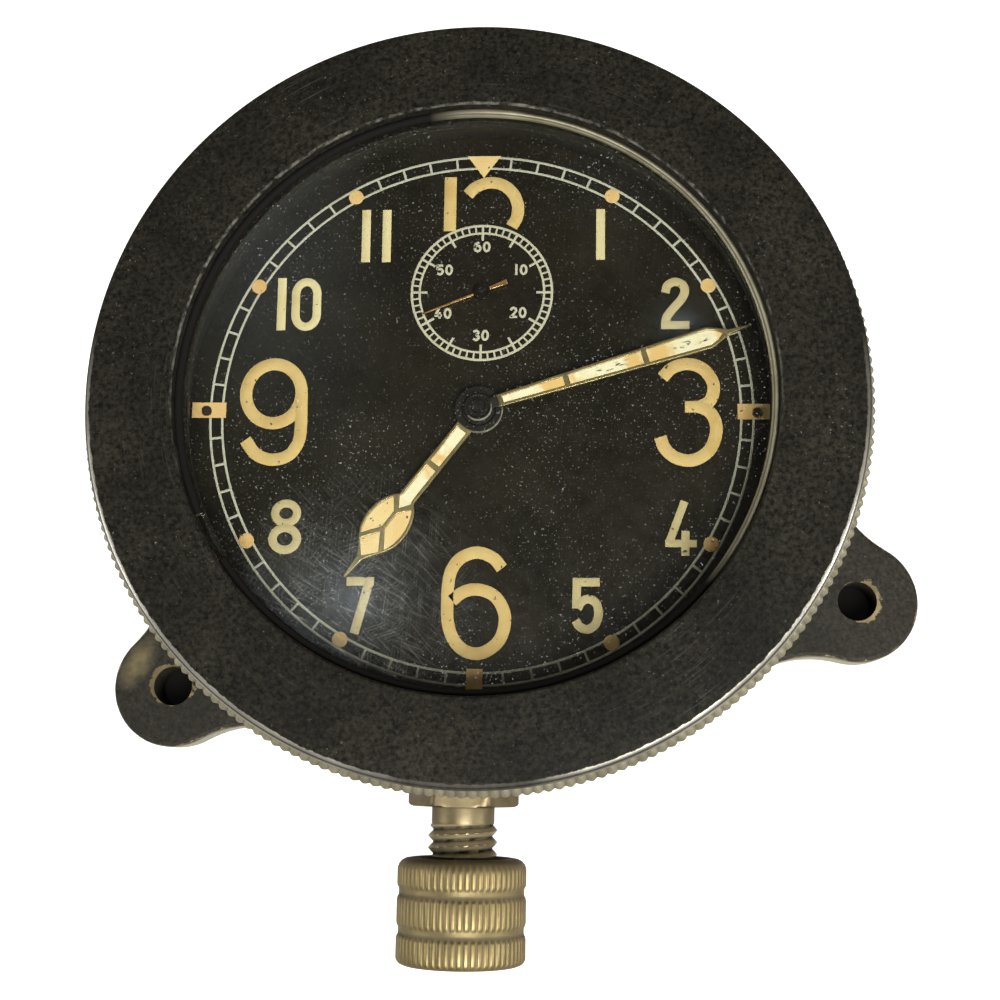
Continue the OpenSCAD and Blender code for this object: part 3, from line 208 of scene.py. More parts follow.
def grooved_metal(name, bright, dull, groove, rough, hold=0.75):
    """Metal darkened where the mesh's own groove value says so, as dirt in some places and as painted shade
    in others.
    """
    s = Shader(name)
    tone = s.mix(s.ramp(s.noise(420, 4, 0.6), 0.35, 0.68), bright, dull)
    mask = s.product(s.groove(), s.ramp(s.noise(900), 0.2, 0.6, hold, 1.0))
    roughness = s.between(mask, rough, rough + 0.3)
    metallic = s.between(mask, 1.0, 0.1)
    specular = s.between(mask, 0.5, 0.04)
    return s.surface(s.mix(mask, tone, groove), roughness, metallic, (2600, 0.2, 0.00005), specular)


def luminous(s, color):
    """Matt luminous paint of a colour."""
    return s.surface(color, 0.75, 0.0, (2400, 0.35, 0.00008), 0.25)


def filling(name, pale, warm, warm_from, scale, spots=0.68):
    """Luminous paint with warm stains and a few dark pits."""
    s = Shader(name)
    tone = s.mix(s.ramp(s.noise(scale), warm_from, warm_from + 0.22), pale, warm)
    grain = s.mix(s.ramp(s.noise(3000, 2), 0.35, 0.75, 0.0, 0.35), tone, warm)
    pits = s.ramp(s.noise(1700, 2, 0.5), spots, spots + 0.04)
    return luminous(s, s.mix(pits, grain, (0.05, 0.04, 0.025)))


def hand_filling(name, degrees, stained, cracked=()):
    """Luminous paint of a hand, orange over some stretches of its length and cracked over others."""
    s = Shader(name)
    local = s.add("Mapping", 0, {"vector_type": "POINT"}, Vector=s.coords(),
                  Rotation=(0.0, 0.0, math.radians(degrees)))
    x, y, _ = s.xyz(local)
    ragged = s.math("ADD", y, s.ramp(s.noise(900), 0.3, 0.7, -0.6 * MM, 0.6 * MM))

    def stretch(low, high, soft):
        return s.product(s.span(ragged, low - soft, low + soft), s.span(ragged, high + soft, high - soft))
    color = s.mix(s.ramp(s.noise(700), 0.45, 0.7, 0.0, 0.7), PALE, WARM)
    for low, high in stained:
        color = s.mix(s.product(stretch(low, high, 0.5), 0.9), color, ORANGE)
    along = s.add("CombineXYZ", X=s.product(x, 3000), Y=s.product(y, 800))
    lines = s.product(s.ramp(s.noise(1.0, 2, 0.6, along), 0.53, 0.58),
                      s.span(s.math("ABSOLUTE", x), 0.4, 0.25))
    for low, high in cracked:
        color = s.mix(s.product(lines, stretch(low, high, 0.3), 0.9), color, (0.02, 0.015, 0.008))
    return luminous(s, color)


# Outlines, in millimetres and degrees
def polar(r, degrees, cx=0.0, cy=0.0):
    angle = math.radians(degrees)
    return cx + r * math.cos(angle), cy + r * math.sin(angle)


def arc(cx, cy, rx, ry, start, stop, n):
    """Points on an ellipse between two angles."""
    turns = (math.radians(start + (stop - start) * i / n) for i in range(n + 1))
    return [(cx + rx * math.cos(t), cy + ry * math.sin(t)) for t in turns]


def circle(r, n=40, cx=0.0, cy=0.0, sweep=360):
    return arc(cx, cy, r, r, 0, sweep, n)[:-1]


def curve(points, steps=6):
    """Smooth line through a few points."""
    pts = [Vector(p) for p in points]
    pts = [2 * pts[0] - pts[1]] + pts + [2 * pts[-1] - pts[-2]]
    out = []
    for i in range(1, len(pts) - 2):
        p0, p1, p2, p3 = pts[i - 1:i + 3]
        for k in range(steps):
            t = k / steps
            out.append(0.5 * ((2 * p1) + (p2 - p0) * t + (2 * p0 - 5 * p1 + 4 * p2 - p3) * t * t
                              + (3 * p1 - p0 - 3 * p2 + p3) * t ** 3))
    out.append(pts[-2])
    return [(p.x, p.y) for p in out]


def fillet(points, steps=5):
    """Corners of an open outline with a third value, the rounding radius, become arcs."""
    out = []
    for i, p in enumerate(points):
        here = Vector(p[:2])
        if len(p) < 3:
            out.append(here)
            continue
        a = (Vector(points[i - 1][:2]) - here).normalized()
        b = (Vector(points[i + 1][:2]) - here).normalized()
        half = a.angle(b) / 2
        reach = p[2] / math.tan(half)
        middle = here + (a + b).normalized() * (p[2] / math.sin(half))
        start = here + a * reach - middle
        turn = start.angle_signed(here + b * reach - middle)
        for k in range(steps + 1):
            out.append(middle + Matrix.Rotation(-turn * k / steps, 2) @ start)
    return [(p.x, p.y) for p in out]


def both(points):
    """Outline whose left half mirrors the right."""
    return points + [(-x, y) for x, y in reversed(points)]


# Mesh helpers, in millimetres
def smooth(mesh, degrees):
    mesh.polygons.foreach_set("use_smooth", [True] * len(mesh.polygons))
    mesh.set_sharp_from_angle(angle=math.radians(degrees))


def settle(mesh, name, material, body, stands_for, degrees):
    """Sets a mesh on its body, as a piece with a material."""
    smooth(mesh, degrees)
    mesh.materials.clear()
    mesh.materials.append(material)
    obj = bpy.data.objects.new(name, mesh)
    bpy.context.scene.collection.objects.link(obj)
    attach(obj, body)
    if stands_for:
        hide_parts(*stands_for)


class Build:
    """Points and faces of one piece, with a groove value at each point."""

    def __init__(self):
        self.verts = []
        self.faces = []
        self.groove = []

    def grid(self, rows, around=True, close=False, groove=None):
        """Rows of points joined by quads, as rings when around is set; each row has one groove or a list."""
        base = len(self.verts)
        n = len(rows[0])
        for row, value in zip(rows, groove or [0.0] * len(rows)):
            self.verts.extend(row)
            self.groove.extend(value if isinstance(value, list) else [value] * n)
        for i in range(len(rows) if close else len(rows) - 1):
            k = (i + 1) % len(rows)
            for j in range(n if around else n - 1):
                m = (j + 1) % n
                self.faces.append((base + i * n + j, base + i * n + m, base + k * n + m, base + k * n + j))

    def cap(self, row):
        base = len(self.verts)
        self.verts.extend(row)
        self.groove.extend([0.0] * len(row))
        self.faces.append(tuple(range(base, base + len(row))))

    def make(self, name, material, stands_for=(), degrees=40, body="case"):
        mesh = bpy.data.meshes.new(name)
        mesh.from_pydata([(x * MM, y * MM, z * MM) for x, y, z in self.verts], [], self.faces)
        mesh.update()
        if any(self.groove):
            mesh.attributes.new("groove", "FLOAT", "POINT").data.foreach_set("value", self.groove)
        settle(mesh, name, material, body, stands_for, degrees)


def at_height(points, z):
    return [(x, y, z) for x, y in points]


def lathe(build, outline, n):
    build.grid([at_height(circle(r, n), z) for r, z in outline])


def stroke(build, points, width, z, height, closed=False):
    """A raised painted line of even width."""
    pts = [Vector(p) for p in points]
    if closed and (pts[0] - pts[-1]).length < 1e-6:
        pts.pop()
    n = len(pts)
    half = width / 2
    edge = min(height / 2, half * 0.4)
    rise = [(-half, 0.0), (edge * 0.25 - half, height * 0.7), (edge - half, height)]
    rows = []
    for i, p in enumerate(pts):
        before = pts[(i - 1) % n] if closed or i else p
        after = pts[(i + 1) % n] if closed or i < n - 1 else p
        t1 = (p - before).normalized() if (p - before).length else (after - p).normalized()
        t2 = (after - p).normalized() if (after - p).length else t1
        t = (t1 + t2).normalized()
        side = Vector((-t.y, t.x)) / max(0.5, t.dot(t1))
        rows.append([(p.x + side.x * a, p.y + side.y * a, z + h) for a, h in both(rise)])
    build.grid(rows, around=False, close=closed)
    if not closed:
        build.cap(rows[0][::-1])
        build.cap(rows[-1])


def disc(build, cx, cy, r, z, height, n=24):
    rows = [at_height(circle(q, n, cx, cy), z + h)
            for q, h in ((r, 0), (r * 0.97, height * 0.7), (r * 0.85, height))]
    build.grid(rows)
    build.cap(rows[-1])


def slab(build, outline, z, height, edge=0.05):
    """Flat raised shape with slightly drawn-in top."""
    c = sum((Vector(p) for p in outline), Vector((0.0, 0.0))) / len(outline)
    rows = []
    for draw, h in ((0, 0), (edge * 0.3, height * 0.7), (edge, height)):
        drawn = [Vector(p) - (Vector(p) - c).normalized() * draw for p in outline]
        rows.append(at_height(drawn, z + h))
    build.grid(rows)
    build.cap(rows[-1])


def flat_mesh(name, outlines, half_t=0.0, edge=0.0):
    """Mesh of a flat shape with holes and rounded edges, cut from 2-D outlines."""
    data = bpy.data.curves.new(name, "CURVE")
    data.dimensions = "2D"
    data.fill_mode = "BOTH"
    data.extrude = half_t * MM
    data.bevel_depth = edge * MM
    data.bevel_resolution = 2
    data.offset = -edge * MM
    for outline in outlines:
        spline = data.splines.new("POLY")
        spline.points.add(len(outline) - 1)
        for point, (x, y) in zip(spline.points, outline):
            point.co = (x * MM, y * MM, 0, 1)
        spline.use_cyclic_u = True
    holder = bpy.data.objects.new(name + "_outline", data)
    bpy.context.scene.collection.objects.link(holder)
    bpy.context.view_layer.update()
    mesh = bpy.data.meshes.new_from_object(holder.evaluated_get(bpy.context.evaluated_depsgraph_get()))
    bpy.data.objects.remove(holder)
    return mesh


def plate(name, outlines, low, high, edge, place, material, body, stands_for=()):
    """Flat piece with rounded edges between two heights, set at a place."""
    mesh = flat_mesh(name, outlines, (high - low) / 2 - edge, edge)
    mesh.name = name
    mesh.transform(place @ Matrix.Translation((0, 0, (low + high) / 2 * MM)))
    mesh.update()
    settle(mesh, name, material, body, stands_for, 50)


# Materials of the outside
m_case = pot_paint()
m_knurl = grooved_metal("knurl_nickel", (0.4, 0.375, 0.27), (0.27, 0.25, 0.175), (0.035, 0.031, 0.022), 0.55)
m_wire = grooved_metal("ring_wire", (0.52, 0.49, 0.35), (0.38, 0.35, 0.24), (0.008, 0.0075, 0.007), 0.42, 1.0)
m_tube = grooved_metal("tube_brass", (0.22, 0.18, 0.102), (0.15, 0.118, 0.068), (0.03, 0.025, 0.015), 0.46)
m_thread = grooved_metal("thread_brass", (0.6, 0.52, 0.32), (0.46, 0.385, 0.23), (0.008, 0.006, 0.004), 0.38)
m_knob = grooved_metal("knob_brass", (0.27, 0.213, 0.1), (0.19, 0.148, 0.068), (0.1, 0.084, 0.054), 0.45)
m_big = filling("numeral_paint", (0.57, 0.425, 0.175), (0.51, 0.35, 0.125), 0.45, 300)
m_small = filling("small_numeral_paint", (0.61, 0.545, 0.305), (0.54, 0.44, 0.215), 0.5, 260)
# Painted shade: a darker copy of the small numerals' paint, for the 2, 4, 5, 7 and 8.
m_shaded_numerals = filling("shaded_numeral_paint", (0.46, 0.395, 0.21), (0.4, 0.32, 0.155), 0.5, 260)
m_dot = filling("dot_paint", (0.64, 0.45, 0.19), (0.55, 0.34, 0.125), 0.45, 500)
m_track = filling("track_paint", (0.44, 0.45, 0.365), (0.35, 0.35, 0.275), 0.5, 500, 0.8)
m_sub = filling("small_seconds_paint", (0.46, 0.45, 0.34), (0.38, 0.37, 0.275), 0.5, 500, 0.8)
m_pear = filling("pear_filling", (0.72, 0.585, 0.29), (0.68, 0.49, 0.21), 0.42, 300)
m_hand = metal("hand_brass", (0.34, 0.28, 0.13), (0.2, 0.16, 0.075), 0.42, 500, 0.66, near_axis)
m_hub = metal("hub_dark", (0.03, 0.028, 0.025), (0.015, 0.014, 0.013), 0.38, 600)
m_seconds = metal("seconds_gilt", (0.72, 0.42, 0.18), (0.55, 0.32, 0.14), 0.35, 700)
m_screw = metal("dial_screw_dark", (0.12, 0.1, 0.075), (0.05, 0.045, 0.035), 0.4, 900)
m_minute = hand_filling("minute_hand_filling", MINUTE_AT,
                        ((6.9, 9.6), (10.0, 11.0), (16.4, 18.3), (18.7, 21.2), (26.2, 27.4)),
                        ((12.5, 16.6), (21.4, 25.4)))
m_hour = hand_filling("hour_hand_filling", HOUR_AT, ((5.9, 7.6), (8.0, 8.9)))


def dial_paint():
    s = Shader("dial_black")
    color = s.mix(s.ramp(s.noise(140, 4), 0.35, 0.7), (0.0072, 0.0061, 0.0033), (0.0135, 0.0115, 0.0062))
    return s.surface(color, s.ramp(s.noise(600), 0.3, 0.7, 0.24, 0.36), 0.0, (1200, 0.06, 0.00004, 2), 0.25)


def glass_look():
    """Clear glass with dust all over it, and hair-fine scratches round the spot where it mirrors a glow,
    painted pale there as glints of that glow.
    """
    s = Shader("clock_glass")
    clear = s.add("BsdfTransparent", Color=(0.97, 0.975, 0.96))
    shine = s.add("BsdfGlossy", Color=(1.0, 1.0, 1.0), Roughness=0.06)
    front = s.math("SUBTRACT", 1.0, s.add("NewGeometry", "Backfacing"))
    mirrored = s.product(s.add("Fresnel", IOR=1.5), front)
    body = s.add("MixShader", i0=mirrored, i1=clear, i2=shine)
    dots = s.ramp(s.noise(3600, 2, 0.6), 0.66, 0.72)
    marks = s.product(dots, s.ramp(s.noise(90), 0.38, 0.66, 0.15, 1.0), 0.3)
    # Real scratches and painted glints: the lines are drawn only near the spot where the glass mirrors a
    # glow.
    glint_spot = (-0.0118, -0.0205, 0.0309)
    near = s.span(s.away(glint_spot), 14, 2, 0.05, 1.0)
    for turn in (0.35, -0.55, 0.9, 1.5, 2.3, 2.8):
        along = s.add("Mapping", 0, {"vector_type": "TEXTURE"}, Vector=s.coords(),
                      Rotation=(0.0, 0.0, turn), Scale=(1 / 160, 1 / 9500, 1.0))
        lines = s.ramp(s.noise(1.0, 1, 0.5, along), 0.63, 0.72)
        marks = s.math("ADD", marks, s.product(lines, near, 0.075))
    # dust holds the dust and the scratch glints.
    dust = s.math("ADD", marks, s.ramp(s.noise(55, 4, 0.6), 0.5, 0.85, 0.0, 0.006))
    dust_and_glint_white = s.add("BsdfDiffuse", Color=(0.72, 0.74, 0.72))
    s.finish(s.add("MixShader", i0=dust, i1=body, i2=dust_and_glint_white))
    return s.mat


def hub_look(name, edge):
    """Blackened hub, with a painted highlight along the lower-right part of its edge, pale grey where the
    light catches it.
    """
    s = Shader(name)
    x, y, _ = s.xyz()
    # Painted highlight: bare is the pale arc on the edge's lower right, where the light catches the hub.
    facing = s.math("SUBTRACT", s.product(x, 0.5), s.product(y, 0.86))
    bare = s.product(s.span(s.radius(x, y), edge - 0.16, edge - 0.06), s.span(facing, edge * 0.1, edge * 0.6),
                     s.ramp(s.noise(900), 0.3, 0.6, 0.35, 1.0))
    black = s.mix(s.noise(600), (0.008, 0.0075, 0.006), (0.016, 0.014, 0.011))
    return s.surface(s.mix(bare, black, (0.26, 0.25, 0.21)), 0.45, 0.0, (2200, 0.15, 0.00005), 0.15)


# Bezel: the painted ring with its bare worn edge, bright only on the lower side as painted highlight, and the
# knurl round it
def bezel_look():
    s = Shader("bezel_edge_wear_and_highlight")
    x, y, z = s.xyz()
    r = s.radius(x, y)
    rough_r = s.math("ADD", r, s.ramp(s.noise(900, 4, 0.65), 0.3, 0.7, -0.1 * MM, 0.1 * MM))
    # Wear and painted highlight: the outer edge is drawn bare only on the lower side, least at the bottom
    # middle, where the light catches it.
    rim_wear_and_highlight = s.product(s.span(rough_r, BEZEL_R - 0.66, BEZEL_R - 0.56), s.span(y, 6, -18),
                    s.span(s.math("ABSOLUTE", x), 6, 18, 0.08, 1.0),
                    s.ramp(s.noise(45, 2), 0.3, 0.6, 0.5, 1.0))
    # Wear and painted glints: faint bare dashes on the window's lip, drawn only on the upper half, where the
    # light catches it.
    lip_wear_and_glint = s.product(s.span(rough_r, WINDOW_R + 0.24, WINDOW_R + 0.14), s.span(y, -10, 10),
                    s.span(z, FACE_Z - 0.34, FACE_Z - 0.26), s.ramp(s.noise(1100), 0.4, 0.7, 0.0, 0.28))
    # worn joins both masks: wear with painted highlight and painted glints.
    worn = s.math("MAXIMUM", rim_wear_and_highlight, lip_wear_and_glint)
    turns = s.add("CombineXYZ", X=s.product(r, 5200), Y=s.product(s.math("ARCTAN2", y, x), 5))
    hairs = s.product(s.ramp(s.noise(1.0, 3, 0.6, turns), 0.58, 0.78), s.ramp(s.noise(70), 0.45, 0.7))
    color = s.mix(hairs, paint_color(s, BLACK, WORN_BLACK, SPECK), (0.06, 0.058, 0.05))
    wall = s.product(s.span(z, GLASS_FOOT + 0.05, GLASS_FOOT - 0.1), s.span(r, 33, 32.5, 0.0, 0.55))
    color = s.mix(wall, color, (0.04, 0.036, 0.026))
    tone = s.mix(s.ramp(s.noise(120), 0.35, 0.65), (0.52, 0.51, 0.45), (0.3, 0.29, 0.25))
    # Painted shade: a dark line on the outer part of the bare edge's rounding, standing for the dip into the
    # undercut.
    line = s.product(s.span(r, BEZEL_R - 0.34, BEZEL_R - 0.28),
                     s.span(r, BEZEL_R - 0.12, BEZEL_R - 0.18), 0.8)
    tone = s.mix(line, tone, (0.03, 0.03, 0.032))
    roughness = s.between(worn, 0.5, 0.34)
    specular = s.between(worn, 0.05, 0.5)
    return s.surface(s.mix(worn, color, tone), roughness, worn, (2200, 0.22, 0.00006), specular)


def make_bezel():
    top = SEAT_Z + KNURL_H
    outline = fillet([
        (38.6, top - 0.05), (BEZEL_R - 0.35, top + 0.02), (BEZEL_R - 0.35, top + 0.15, 0.05),
        (BEZEL_R, top + 0.4, 0.1), (BEZEL_R, FACE_Z, 0.75),
        (WINDOW_R + 0.22, FACE_Z, 0.06), (WINDOW_R + 0.02, FACE_Z - 0.22, 0.06),
        (WINDOW_R, GLASS_TOP + 1.0), (WINDOW_R + 0.25, GLASS_TOP + 1.0),
        (WINDOW_R + 0.25, GLASS_TOP), (WINDOW_R, GLASS_TOP), (WINDOW_R, GLASS_FOOT),
        (WINDOW_R - 0.6, GLASS_FOOT, 0.08), (31.5, DIAL_Z + 0.05, 0.1), (33.35, DIAL_Z + 0.05),
        (33.35, 31.0), (37.55, 31.0), (37.55, SEAT_Z + 0.1)])
    b = Build()
    lathe(b, outline, 360)
    b.make("bezel_ring", bezel_look(), ("bezel",), 30)


def make_knurl():
    """Ridges round the bezel's seat, upright below and leaning in on a bevel above."""
    teeth, steps = 236, 8
    top = SEAT_Z + KNURL_H
    # Radius, height, how much the ridges stand out and up there, and the darkness between them: dirt between
    # the teeth, painted shade on the flats at the seat and where the knurl meets the bezel
    profile = [
        (37.55, SEAT_Z + 0.02, 0, 0, 0.9), (40.1, SEAT_Z, 0, 0, 0.9), (40.4, SEAT_Z + 0.12, 0.4, 0, 0.8),
        (40.45, SEAT_Z + 0.4, 1, 0, 0.8), (40.45, top - 0.85, 1, 0.2, 0.8), (40.4, top - 0.72, 0.8, 0.6, 0.7),
        (40.05, top - 0.37, 0.7, 0.7, 0.6), (39.7, top - 0.02, 0.7, 0.7, 0.6),
        (39.55, top + 0.08, 0.4, 0.5, 0.7), (39.4, top + 0.08, 0, 0, 0.9)]
    crests = [(0.5 - 0.5 * math.cos(2 * math.pi * j / steps)) ** 0.6 for j in range(steps)] * teeth
    rows, dirt = [], []
    for r, z, out, lift, darkness in profile:
        row = []
        for j, crest in enumerate(crests):
            ridge = crest * 0.25 - 0.1
            row.append((*polar(r + out * ridge, 360 * j / len(crests)), z + lift * ridge))
        rows.append(row)
        # dirt here holds dirt between the teeth and painted shade on the flats.
        dirt.append([(1 - crest) * darkness if out or lift else darkness for crest in crests])
    b = Build()
    b.grid(rows, groove=dirt)
    b.make("bezel_knurl", m_knurl)


def make_wire():
    """Wire ring over the glass, open for ten degrees at the lower left, bright only at the right: elsewhere,
    and along a streak on its upper inner side, it is painted dark as shade.
    """
    radius, wire, z = WINDOW_R - 0.25, 0.45, GLASS_TOP + 0.5
    steps, around = 280, 24
    # Painted shade: a dark streak along the wire's upper inner side, splitting its highlight in two.
    shade_streak = [math.exp(-((360 * j / around - 125) / 16) ** 2) for j in range(around)]
    rows, dirt = [], []
    for i in range(steps + 1):
        at = 215 + 350 * i / steps
        rows.append([(*polar(radius + out, at), z + up) for out, up in circle(wire, around)])
        # Painted shade: dark all round except from about twelve to four o'clock, where the light catches the
        # wire.
        turn = (at - 30 + 180) % 360 - 180
        shade = min(1.0, max(0.0, (abs(turn) - 50) / 20))
        # dirt here holds only painted shade.
        dirt.append([max(shade, value) for value in shade_streak])
    b = Build()
    b.grid(rows, groove=dirt)
    b.cap(rows[0][::-1])
    b.cap(rows[-1])
    b.make("glass_wire", m_wire, ("glass_ring",), 60)


make_bezel()
make_knurl()
make_wire()

# Dial print: how thick it is, and how far a line lies above the one that it crosses
INK, PASTE = 0.03, 0.07
OVER, TICK_OVER, DIGIT_OVER = 0.004, 0.003, 0.002


def numerals(name, material, lines):
    """Painted numbers, each line with its width, its layer, its points and, if it closes, True."""
    b = Build()
    for width, layer, points, *closed in lines:
        stroke(b, points, width, DIAL_Z + layer * OVER, PASTE, bool(closed))
    b.make(name, material)


def large_numerals():
    w = 1.36
    twelve = [
        (w, 0, [(-3.69, 26.91), (-3.67, 20.58)]),
        (w, 0, curve([(-1.75, 24.85), (-0.85, 25.75), (0.6, 26.25), (2.12, 25.98), (3.33, 24.88),
                      (3.84, 23.4), (3.7, 22.1), (3.14, 21.08)]))]
    three = [
        (w, 0, curve([(19.6, 3.85), (20.7, 4.95), (22.3, 5.38), (23.9, 4.87), (24.92, 3.5), (25.02, 2.3),
                      (24.55, 1.2), (23.5, 0.65)])),
        (1.28, 1, [(23.6, 0.64), (21.98, 0.63)]),
        (w, 2, curve([(23.4, 0.68), (24.55, 0.1), (25.17, -0.95), (25.25, -2.25), (24.7, -3.85),
                      (23.6, -4.88), (22.3, -5.25), (20.85, -4.88), (19.8, -3.9), (19.34, -2.7)]))]
    six = [
        (1.32, 0, curve([(2.7, -16.95), (1.78, -15.88), (0.1, -15.28), (-1.6, -15.85), (-2.6, -17.15),
                         (-2.94, -18.8), (-2.98, -20.8), (-2.88, -22.7), (-2.25, -24.5), (-1.15, -25.58),
                         (0.15, -25.93), (1.47, -25.5), (2.62, -24.35), (3.1, -22.6), (2.82, -21.1),
                         (1.83, -19.78), (0.15, -19.2), (-1.35, -19.5), (-2.5, -20.4)]))]
    nine = [
        (w, 0, arc(-22.42, 2.0, 3.04, 3.31, 0, 360, 48), True),
        (w, 1, [(-19.38, 2.2)] + curve([(-19.32, 0.2), (-19.3, -1.8), (-19.5, -3.4), (-20.5, -4.85),
                                        (-22.25, -5.36), (-24.05, -4.75), (-25.28, -3.2)]))]
    numerals("numerals_large", m_big, twelve + three + six + nine)


def small_numerals():
    w = 0.98
    zero = ([(-18.12, 13.4)] + arc(-19.3, 13.3, 1.18, 1.42, 5, 175, 12)
            + arc(-19.27, 11.0, 1.18, 1.42, 185, 355, 12))
    eleven = [(w, 0, [(x, 23.1), (x + 0.06, 17.0)]) for x in (-12.97, -10.68)]
    ten = [(w, 0, [(-22.06, 15.17), (-21.98, 9.17)]), (0.93, 0, zero, True)]
    one = [(w, 0, [(12.95, 23.08), (12.95, 17.2)])]
    numerals("numerals_small", m_small, eleven + ten + one)


# The 2, 4, 5, 7 and 8, in the darker paint that stands for shade.
def shaded_numerals():
    two = [
        (0.95, 0, curve([(19.97, 13.4), (20.22, 14.25), (21.03, 14.66), (21.85, 14.3), (22.07, 13.55),
                         (21.68, 12.65), (20.75, 11.55), (20.12, 10.65), (19.97, 9.75)])),
        (0.9, 1, [(19.5, 9.75), (22.54, 9.75)])]
    four = [
        (0.86, 0, [(21.85, -9.66), (20.2, -14.1)]),
        (0.8, 1, [(19.8, -14.15), (23.08, -14.15)]),
        (0.86, 2, [(21.93, -12.8), (21.88, -15.45)])]
    five = [
        (0.92, 0, [(10.13, -18.33), (12.96, -18.32)]),
        (0.9, 1, [(10.58, -18.1), (10.52, -21.1)]),
        (0.93, 2, curve([(10.66, -21.1), (11.05, -20.42), (11.78, -20.1), (12.6, -20.55), (12.84, -21.7),
                         (12.5, -22.75), (11.7, -23.28), (10.88, -22.98), (10.45, -22.35)]))]
    seven = [
        (0.94, 0, [(-13.68, -18.46), (-10.78, -18.44)]),
        (0.96, 1, [(-11.28, -18.4), (-12.72, -23.98)])]
    eight = [
        (0.88, 0, arc(-20.47, -11.2, 1.18, 1.06, 0, 360, 32), True),
        (0.92, 1, arc(-20.5, -13.98, 1.31, 1.18, 0, 360, 32), True)]
    numerals("numerals_shaded", m_shaded_numerals, two + four + five + seven + eight)


def markers():
    """Dots and bars at the hours, and the triangle at twelve."""
    z = DIAL_Z + INK * 0.5
    half = 0.86
    b = Build()
    for hour in (1, 2, 4, 5, 7, 8, 10, 11):
        disc(b, *polar(28.42, 90 - 30 * hour), 0.83, z, PASTE)
    bar = [(27.55, -half), (31.3, -half), (31.3, half), (27.55, half)]
    for side in (1, -1):
        slab(b, [(side * x, y + 0.12) for x, y in bar[::side]], z, PASTE)
    slab(b, [(-half, -31.4), (half, -31.4), (half, -27.5), (-half, -27.5)], z, PASTE)
    b.make("hour_markers", m_dot)
    b = Build()
    slab(b, [(-1.86, 29.4), (0.0, 26.8), (1.86, 29.4)], z, PASTE)
    b.make("twelve_triangle", m_pear)


def track():
    inner, outer, width = 27.95, 29.25, 0.26
    b = Build()
    for r in (inner, outer):
        stroke(b, arc(0, 0, r, r, 0, 360, 180), width, DIAL_Z, INK, closed=True)
    for i in range(60):
        at = 90 - 6 * i
        stroke(b, [polar(inner, at), polar(outer, at)], width, DIAL_Z + TICK_OVER, INK)
    b.make("minute_track", m_track)


DIGITS = {
    "0": [arc(0, 0, 0.3, 0.5, 0, 360, 20)],
    "1": [[(0, 0.62), (0, -0.62)]],
    "2": [curve([(-0.3, 0.24), (-0.12, 0.5), (0.2, 0.46), (0.28, 0.18), (0.0, -0.2), (-0.3, -0.5)], 4),
          [(-0.42, -0.5), (0.42, -0.5)]],
    "3": [curve([(-0.28, 0.42), (0.05, 0.52), (0.28, 0.28), (0.02, 0.04)], 4),
          curve([(0.02, 0.04), (0.32, -0.2), (0.08, -0.52), (-0.3, -0.4)], 4)],
    "4": [[(0.08, 0.6), (-0.34, -0.22)], [(-0.42, -0.24), (0.4, -0.24)], [(0.14, 0.12), (0.14, -0.6)]],
    "5": [[(-0.3, 0.5), (0.34, 0.5)], [(-0.26, 0.56), (-0.28, 0.0)],
          curve([(-0.28, 0.02), (0.05, 0.12), (0.32, -0.15), (0.1, -0.5), (-0.3, -0.42)], 4)],
    "6": [arc(0, -0.18, 0.3, 0.33, 0, 360, 20), curve([(-0.3, -0.16), (-0.22, 0.3), (0.16, 0.52)], 4)],
}
SECONDS = {"60": (-0.05, 18.75), "10": (4.15, 16.1), "20": (4.0, 11.2), "30": (-0.05, 8.6),
           "40": (-4.2, 11.1), "50": (-4.15, 16.1)}


def small_seconds():
    """Ring of the small seconds, with a longer tick at every fifth and a number at every tenth."""
    outer, inner, long_tick, width = 7.68, 6.82, 0.85, 0.27
    b = Build()
    for r, w in ((outer, width), (inner, 0.24)):
        stroke(b, arc(*SUB, r, r, 0, 360, 120), w, DIAL_Z, INK, closed=True)
    for i in range(60):
        at = 90 - 6 * i
        low, w = (inner, 0.2) if i % 5 else (inner - long_tick, width)
        stroke(b, [polar(low, at, *SUB), polar(outer, at, *SUB)], w, DIAL_Z + TICK_OVER, INK)
    for number, (x, y) in SECONDS.items():
        apart = 0.4 if number == "10" else 0.5
        for digit, side in zip(number, (-1, 1)):
            for line in DIGITS[digit]:
                points = [(x + side * apart + px, y + py) for px, py in line]
                stroke(b, points, width, DIAL_Z + DIGIT_OVER, INK)
    b.make("small_seconds_print", m_sub)


def make_dial_screws():
    """Slotted heads at 3 and 9 o'clock, each two halves over a floor."""
    r, slot_half, draw = 0.56, 0.09, 0.92
    b = Build()
    for cx in (-29.66, 29.66):
        for side in (-1, 1):
            middle = side * slot_half
            half = arc(0, 0, r, side * (r - slot_half), 0, 180, 16)[::side]
            rows = [[(cx + x * k, middle + y * k, DIAL_Z + h) for x, y in half]
                    for k, h in ((1, 0.06), (draw, 0.3))]
            b.grid(rows)
            b.cap(rows[1])
        b.cap(at_height(circle(0.55, 24, cx), DIAL_Z + 0.12))
    b.make("dial_screw_heads", m_screw, ("dial_screws",))


large_numerals()
small_numerals()
shaded_numerals()
markers()
track()
small_seconds()
make_dial_screws()

# Hands, drawn upright and then turned
BRASS_W, BRASS_EDGE = 0.36, 0.08
FILL_IN, FILL_EDGE = 0.06, 0.03


def turned(degrees, at=(0.0, 0.0)):
    return Matrix.Translation((at[0] * MM, at[1] * MM, 0)) @ Matrix.Rotation(-math.radians(degrees), 4, "Z")


def fill(name, windows, z, place, material, body, stands_for=()):
    """Filling of a hand's windows, set in a little from its front and back."""
    plate(name, windows, z + FILL_IN, z + HAND_T - FILL_IN, FILL_EDGE, place, material, body,
          stands_for)


